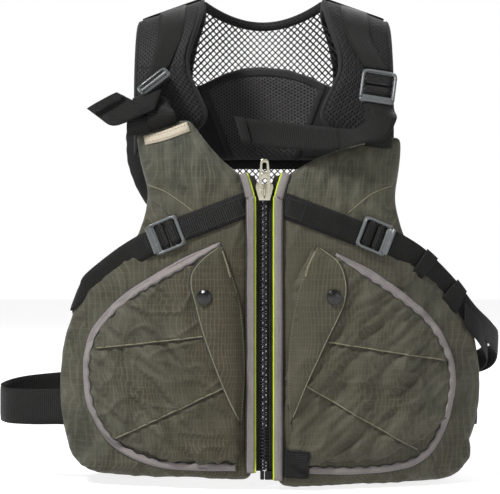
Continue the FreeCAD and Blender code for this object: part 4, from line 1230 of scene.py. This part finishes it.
SIDE_STRAP = {
    "right": [((-117, 0, 256), 24), ((-128, 0, 251), 24), ((-151, 0, 237), 32), ((-180, 0, 214), 42),
              ((-200, -69, 199), 0), ((-204, -34, 195), 0), ((-206, -2, 189), 0), ((-206, 30, 183), 0),
              ((-202, 62, 177), 0), ((-186, 72, 176), 0)],
    "left": [((130, 0, 257), 24), ((141, 0, 252), 24), ((164, 0, 237), 34), ((194, 0, 208), 42),
             ((226, -58, 176), 0), ((246, -34, 158), 0), ((258, -6, 143), 0), ((250, 30, 126), 0),
             ((213, 62, 115), 0), ((196, 70, 114), 0)],
}
WAIST_BELT = {
    "right": [(-208, -56, 80), (-222, -52, 80), (-252, -43, 79), (-281, -24, 79), (-290, 6, 82),
              (-268, 40, 87), (-212, 62, 91), (-188, 72, 91)],
    "left": [(226, -52, 80), (229.5, -46, 80), (230.5, -24, 80), (229.5, 2, 80), (224, 32, 80),
             (214, 60, 80), (194, 70, 80)],
}


LEFT_SLACK = [((214, -69, 180), (0, 0, 13)), ((232, -54, 160), (0, 0, 13)),
              ((243, -30, 141), (0, 0, 13)), ((240, -2, 128), (0, 0, 12)), ((226, 22, 122), (0, 0, 9))]


def free_webbing(side, sign, skin):
    """Side strap and waist belt, laid from the front round to the back."""
    table = []
    for (x, y, z), slope in SIDE_STRAP[side]:
        if slope:
            rise = math.radians(slope)
            y = (skin.y(x, z) or front_y(x)) - 3.4
            table.append(((x, y, z), (sign * math.sin(rise) * 13, 0, math.cos(rise) * 13)))
        else:
            table.append(((x, y, z), (4 if side == "right" and y < 10 else 0.5, 0, 12.8)))
    web = stations(table, 3, 6)

    def across(name, rows, thick, ends, nodes=()):
        """Webbing bent from the front to the back beside the body; ends is not used."""
        piece = band(name, rows, thick, "webbing", out=outwards)
        bridge(piece, nodes)

    side_ends, waist_ends = ((-66, 150), (56, 150)), ((-60, 90), (58, 90))
    across(side + "_side_web", web, 1.8, side_ends, [side + "_side_strap"])
    if side == "left":
        across("left_strap_slack", stations(LEFT_SLACK, 3, 6), 1.8, side_ends)
        for tag, first, last in (("keeper", 14, 20), ("fold", 30, 38)):
            piece = web[first:last]
            middle = piece.mean(1, keepdims=True)
            across(f"left_strap_{tag}", middle + (piece - middle) * 1.1 + (0.8, -3.0, 0), 2.4, side_ends)
    belt = [(point, (0, 0, 19)) for point in WAIST_BELT[side]]
    across(side + "_waist_web", stations(belt, 3, 7), 1.8, waist_ends, [side + "_waist_belt"])


SHOULDER_STRAP = {
    "right": [((-107, -102, 377), (15, 0, 4)), ((-107, -110, 386), (15, 0, 2)),
              ((-109, -106, 396), (14, 0, -2)), ((-112, -94, 404), (13.5, 0, -5)),
              ((-114, -84, 414), (13, 0, -7))],
    "left": [((119, -101, 356), (14, 0, -1)), ((119, -110, 368), (14, 0, -1)),
             ((119, -104, 386), (14, 0, -2)), ((119, -90, 397), (14, 0, -3)),
             ((119, -80, 404), (14, 0, -2.5))],
}
STRAP_TAIL = {
    "right": [((-122, -90, 413), (14, -3, 4)), ((-127, -108, 398), (15, -1, 4)),
              ((-132, -114, 387), (16, 0, 7)), ((-143, -114, 388), (17, 0, 10)),
              ((-156, -111, 396), (16.5, 0, 9.5)), ((-169, -108, 404), (15.5, 0, 8.5))],
    "left": [((123, -76, 407), (14, 0, -2)), ((123, -90, 398), (14, 0, -3)),
             ((124, -108, 389), (13.5, 0, -5)), ((115, -120, 373), (9, -6, -9.5)),
             ((98, -122, 367), (4, -11, -8)), ((78, -123, 364), (1, -9, -11)),
             ((42, -122, 365), (1.5, -5, -13.4)), ((5, -119, 368), (2.5, 0, -14.2)),
             ((-14, -117, 371), (3.5, 0, -14)), ((-27, -115, 373), (4, 0, -14))],
}
SECOND_LAYER = [((-130, -101, 370), (13.5, 0, 3)), ((-130, -108, 380), (13.5, 0, 2)),
                ((-129, -104, 392), (13, 0, 0)), ((-126, -94, 404), (12, 0, -4))]
LEFT_TAIL_PIVOT = (78, -123, 364)


def shoulder_webbing(side, sign):
    """Strap from the front panel up to its buckle, and the loose tail."""
    rows = stations(SHOULDER_STRAP[side], 2.5, 6)
    cut = len(rows) - 9
    bridge(band(side + "_top_strap", rows[:cut + 1], 1.8, "webbing"),
           [side + "_shoulder_strap"])
    bridge(band(side + "_strap_end", rows[cut:], 1.8, "webbing"))
    if side == "right":
        bridge(band("right_strap_layer", stations(SECOND_LAYER, 2.5, 6), 1.8, "webbing"))
    rows = stations(STRAP_TAIL[side], 2.5, 7)
    for i in range(len(rows)):
        for j in range(rows.shape[1]):
            rows[i, j, 1] += 1.0 * swells(rows[i, j, 0], 0, rows[i, j, 2], 26, 30 * sign)
    free = rows
    if side == "left":
        gaps = np.linalg.norm(rows.mean(1) - LEFT_TAIL_PIVOT, axis=1)
        cut = int(gaps.argmin())
        free = rows[cut:]
        root = band("left_tail_root", rows[:cut + 1], 1.9, "webbing")
        bridge(root)
    own(band(side + "_tail_web", free, 1.9, "webbing"), side + "_tail",
        [side + "_strap_tail"])
    fold = rows[-5:] + (0, -3.2, 0)
    own(band(side + "_tail_fold", fold, 3.4, "webbing", crown=0.8), side + "_tail")
    tack = [rows[-5, 1:-1] + (0, -4.9, 0)]
    own(stitches(side + "_tail_tack", tack, "black_thread_and_painted_shade", 2.4, 1.9, 0.35), side + "_tail")


# --- Shoulders -----------------------------------------------------------------------------------------

ARCH = [(94, 450), (88, 483), (64, 511), (26, 523), (-12, 507), (-36, 471), (-44, 427), (-44, 377)]


# A shoulder pad's inner edge and width, and how far its outer edge falls below the inner one.
PAD_INNER, PAD_WIDTH, PAD_FALL = 60, 78, 25
# The armhole strip's outer edge: its height, and its distance from the middle.
ARMHOLE_EDGE = ((300, 134), (317, 145), (331, 151), (347, 156), (365, 158), (396, 157))


def pad_share(x):
    """0 at a pad's inner edge, 1 at its outer edge."""
    return (abs(x) - PAD_INNER) / PAD_WIDTH


def arch_line(x, lift, end=1.0):
    """The shoulder's arch at x, from in front to this share of it, lifted off the pad's middle."""
    line = resample(ARCH, 3.0)
    way = tangents(line)
    out = np.column_stack([-way[:, 1], way[:, 0]])
    if out[len(out) // 2, 1] < 0:
        out = -out
    line = line + out * lift
    fall = pad_share(x) * PAD_FALL
    last = int(end * (len(line) - 1)) + 1
    return np.array([(x, y, z - fall) for y, z in line[:last]])


def shape_pad(points, sign):
    """Pulls a pad's inner edge outwards (a waist, and a rounded foot in front, more behind) and
    runs its back end down into the bag."""
    points = np.array(points, float)
    for point in points:
        x, y, z = abs(point[0]), point[1], point[2]
        level = z + pad_share(x) * PAD_FALL
        ahead = clamp((30 - y) / 30)
        front = 7 * clamp((level - 400) / 40) + 16 * math.exp(-((level - 450) / 42) ** 2)
        front += 12 * (min(18, max(0, 398 - level)) / 18) ** 2
        behind = 7 + 17 * clamp((516 - level) / 45)
        share = 1 - clamp(pad_share(x))
        point[0] += sign * share * (ahead * front + (1 - ahead) * behind)
        if y > 50:
            point[2] -= 44 * clamp((490 - level) / 42) ** 1.5
    return points


def shoulder(side, sign):
    """Mesh-covered pad with bound edges and a smooth yoke behind."""
    pad = soft_from(side + "_shoulder_cushion", [side + "_shoulder_pad"], 3.4, 6, 0.6, "pad_mesh")
    swell(pad, 3.0)
    refine(pad)
    displace(pad, lambda x, y, z, n: 0.8 * swells(x, y, z, 26, 5 * sign))

    def pad_uv(x, y, z):
        angle = math.atan2(z - 0.445, y - 0.025)
        run = angle * 0.075 if z > 0.445 else (math.copysign(1.5708, y) * 0.075 + (0.445 - z)
                                               * math.copysign(1, y))
        return x, run

    set_uv(pad, pad_uv)
    set_coords(pad, shape_pad(coords(pad) / MM, sign) * MM)
    own(pad, "back", [side + "_shoulder_pad"])
    for tag, x in (("inner", 60.5), ("outer", 137.5)):
        edge = shape_pad(arch_line(sign * x, 0), sign)
        own(tube(f"{side}_pad_edge_{tag}", edge, 7.0, "black_binding", 12, 0.42, out=(1, 0, 0)),
            "back")
    end, start = (shape_pad(arch_line(sign * x, 0), sign)[-1] for x in (61, 137))
    foot = resample([start, (start + end) / 2 + (0, 0, -4), end], 3)
    own(tube(side + "_pad_edge_foot", foot, 6.6, "black_binding", 12, 0.42, out=(0, 0, 1)), "back")
    yoke = np.stack([shape_pad(arch_line(sign * x, 8.3, 0.40), sign)
                     for x in np.linspace(63, 135, 12)], axis=1)
    own(band(side + "_shoulder_yoke", yoke, 1.4, "nylon",
             out=off_shoulder), "back")


def armhole(side, sign):
    """Soft strip beside the armhole, from the upper back down to the wing."""
    strip = np.zeros((26, 8, 3))
    heights, edges = zip(*ARMHOLE_EDGE)
    narrower = 8 if side == "left" else 0
    for i, z in enumerate(np.linspace(396, 300, 26)):
        edge = np.interp(z, heights, edges) - narrower
        for j, x in enumerate(np.linspace(edge, 104, 8)):
            strip[i, j] = sign * x, back_y(x, -9), z
    pad = band(side + "_armhole_pad", strip, 13, "nylon", crown=3.0)
    refine(pad)
    displace(pad, lambda x, y, z, n: 1.1 * folds(x, z, 20 * sign, 9, 40, 3) + swells(x, y, z, 20, 6))
    own(pad, "back")


def sewn_webbing(side, sign):
    """Webbing sewn along the shoulder, down to its buckle."""
    width, middle = 29, 100.5
    lines = []
    for x in np.linspace(middle - width / 2, middle + width / 2, 6):
        lines.append(arch_line(sign * x, 10.0, 0.62))
    rows = np.stack(lines, axis=1)
    place = shoulder_place(side)
    bar = place(np.array([(-22.5, -1.0, z) for z in np.linspace(-14.5, 14.5, 6)]))
    if (bar[-1, 0] - bar[0, 0]) * (rows[0, -1, 0] - rows[0, 0, 0]) < 0:
        bar = bar[::-1]
    bar[:, 0] += 5 if side == "right" else -3
    last = rows[-1]
    steps = [last * (1 - t) + bar * t + (0, -5 * math.sin(math.pi * t), 0)
             for t in np.linspace(0.12, 1, 9)]
    rows = np.concatenate([rows, np.array(steps)], axis=0)
    ease(rows, 30)
    own(band(side + "_shoulder_web", rows, 1.8, "webbing",
             out=off_shoulder), "back",
        [side + "_shoulder_webbing"])


# --- Back ------------------------------------------------------------------------------------------------

def net(name, node, inside, surface, pitch, box):
    """Knotted net with diamond holes, laid on surface(x, z) -> y. Cells whose middle is inside."""
    x0, z0, x1, z1 = box
    verts, faces, uv, seen = [], [], [], {}
    half = pitch / 2

    def vertex(x, z):
        key = (round(x, 2), round(z, 2))
        if key not in seen:
            seen[key] = len(verts)
            verts.append((x * MM, surface(x, z) * MM, z * MM))
            uv.append((x * MM, z * MM))
        return seen[key]

    corners = [(half, 0), (half * 0.5, half * 0.5), (0, half), (-half * 0.5, half * 0.5),
               (-half, 0), (-half * 0.5, -half * 0.5), (0, -half), (half * 0.5, -half * 0.5)]
    row, z = 0, z0
    while z <= z1:
        x = x0 + (half if row % 2 else 0)
        while x <= x1:
            if inside(x, z):
                outer = [vertex(x + cx, z + cz) for cx, cz in corners]
                share = 0.78 + 0.04 * noise.noise(Vector((x, z, 0)) * 0.21)
                hole = [vertex(x + cx * share * (1 if k % 2 else 0.95),
                               z + cz * share * (1 if k % 2 else 0.95))
                        for k, (cx, cz) in enumerate(corners)]
                for k in range(8):
                    n = (k + 1) % 8
                    faces.append((outer[k], outer[n], hole[n], hole[k]))
            x += pitch
        z += half
        row += 1
    obj = mesh_from(name, verts, faces, "net", uvs=uv)
    solid = obj.modifiers.new("Solid", "SOLIDIFY")
    solid.thickness, solid.offset = 1.1 * MM, 0
    bake(obj)
    shade_smooth(obj.data)
    own(obj, "back", [node])


def back_panel():
    """Bag of foam behind the shoulder blades, with mesh in its middle, and the padded wings."""
    bag = soft_from("back_bag", ["back_foam"], 4.0, 6, 1.6, "nylon")
    points = coords(bag)
    points[:, 2] += 0.007 * np.clip((points[:, 2] - 0.40) / 0.055, 0, 1) ** 2
    set_coords(bag, points)
    swell(bag, 3.5)
    refine(bag)
    displace(bag, lambda x, y, z, n: 0.9 * swells(x, y, z, 40) + creases(x, y, z, 34, seed=2) * 0.7)
    set_uv(bag, lambda x, y, z: (x + y, z))
    bag.data.materials.append(MAT["mesh"])
    for face in bag.data.polygons:
        x, y, z = face.center / MM
        half = 37 + (70 - 37) * (z - 352) / 84
        if face.normal.y < -0.4 and abs(x) < half:
            face.material_index = 1
    own(bag, "back", ["back_foam", "back_cover", "back_lining", "back_air_mesh"])

    wings = soft_from("back_wing_pads", ["back_wings"], 3.2, 5, 1.2, "nylon")
    points = coords(wings)
    near_top = np.clip((points[:, 2] - 0.225) / 0.04, 0, 1)
    near_top *= np.clip((abs(points[:, 0]) - 0.11) / 0.03, 0, 1)
    points[:, 0] -= np.sign(points[:, 0]) * 0.012 * near_top
    set_coords(wings, points)
    swell(wings, 2.5)
    refine(wings)
    displace(wings, lambda x, y, z, n: 0.9 * swells(x, y, z, 36, 4) + creases(x, y, z, 30, seed=8) * 0.6)
    set_uv(wings, lambda x, y, z: (x + y, z))
    own(wings, "back", ["back_wings"])
    return bag, wings


def back_trims(bag, wings):
    """Bindings round the air mesh and the lower net, and the hem's webbing."""
    inner, outer = Skin([bag], -1), Skin([bag, wings], 1)
    rows = lay([(-72, 435), (-37, 449), (0, 454), (37, 449), (72, 435)], 8, inner, 0.8, columns=5,
               settle=4)
    own(band("crown_binding", rows, 1.4, "black_binding"), "back")
    for side, sign in SIDES:
        path = [(sign * 37, 353), (sign * 52, 392), (sign * 69, 436)]
        rows = lay(path, 7, inner, 0.8, columns=4)
        own(band(side + "_mesh_binding", rows, 1.2, "black_binding"), "back")
        rows = lay([(sign * 108, 20), (sign * 109, 120), (sign * 110, 200), (sign * 108, 342)], 12,
                   outer, 0.6, columns=4, settle=4)
        own(band(side + "_net_binding", rows, 1.2, "black_binding", out=(0, 1, 0)), "back")
    rows = lay([(-112, 349), (0, 349), (112, 349)], 12, outer, 0.6, columns=4, settle=4)
    rows[:, :, 1] = np.minimum(rows[:, :, 1], [[back_y(r[0]) + 3.5 for r in row] for row in rows])
    own(band("net_top_binding", rows, 1.2, "black_binding", out=(0, 1, 0)), "back")

    rows = np.zeros((101, 7, 3))
    for i, x in enumerate(np.linspace(-150, 150, 101)):
        for j, z in enumerate(np.linspace(1.0, 38, 7)):
            rows[i, j] = x, back_y(x, 2.4) + 0.5 * swells(x, 0, z, 30), z
    own(band("hem_webbing", rows, 2.0, "webbing", out=(0, 1, 0)), "back",
        ["back_hem_band"])


def nets():
    """The lower net, and the neck net with its soft binding."""
    net("lower_net", "lower_back_net", lambda x, z: abs(x) < 112, lambda x, z: back_y(x, -1.2), 7.4,
        (-112, 30, 112, 352))

    def neck_y(x, z):
        return 99.2 - (0.002 + 0.0101 * clamp((z - 450) / 70)) * x * x

    def in_neck(x, z):
        return (abs(x) < 64 + 24 * clamp((516 - z) / 45)
                and 443 + 13 * (1 - (x / 62) ** 2) < z < 506 + 14 * (x / 60) ** 2)

    net("neck_net_mesh", "neck_net", in_neck, neck_y, 7.2, (-86, 432, 86, 528))
    line = [(x, neck_y(x, 520), 509 + 13 * (x / 60) ** 2) for x in np.linspace(-67, 67, 32)]
    own(tube("neck_collar", line, 5.2, "pad_mesh", 12, 0.6, out=(0, -1, 0)), "back",
        ["neck_binding"])


def hem_tab(skin):
    """Doubled webbing beside the zip's box."""
    rows = lay([(33, 13), (33.5, 27), (34, 42)], 25, skin, 2.6, columns=7, step=2.0, settle=4)
    own(band("hem_tab_web", rows, 1.8, "webbing"), "left_front", ["hem_tab"])
    fold = rows[:-1] + (0, -1.9, 0)
    own(band("hem_tab_fold", fold, 1.7, "webbing"), "left_front")


# --- Assembly --------------------------------------------------------------------------------------------

def main():
    """Builds every piece; trims are laid on each panel before it rides on its body."""
    stage()
    for side, sign in SIDES:
        panel, pouch, nodes = front_panel(side, sign)
        bare, skin = Skin([panel]), Skin([panel, pouch])
        pocket_trims(side, sign, skin)
        pocket_flap(side, sign, skin)
        front_trims(side, sign, bare)
        chest_strap(side, sign, bare)
        free_webbing(side, sign, bare)
        zip_half(side, sign)
        shoulder(side, sign)
        armhole(side, sign)
        sewn_webbing(side, sign)
        shoulder_webbing(side, sign)
        if side == "left":
            hem_tab(skin)
        own(panel, side + "_front", nodes)
        own(pouch, side + "_front", [side + "_pocket"])
        post = NODES[side + "_snap_post"]
        for k in range(len(post.material_slots)):
            post.material_slots[k].material = MAT["steel"]
    zip_hardware()
    buckles()
    bag, wings = back_panel()
    back_trims(bag, wings)
    nets()


main()
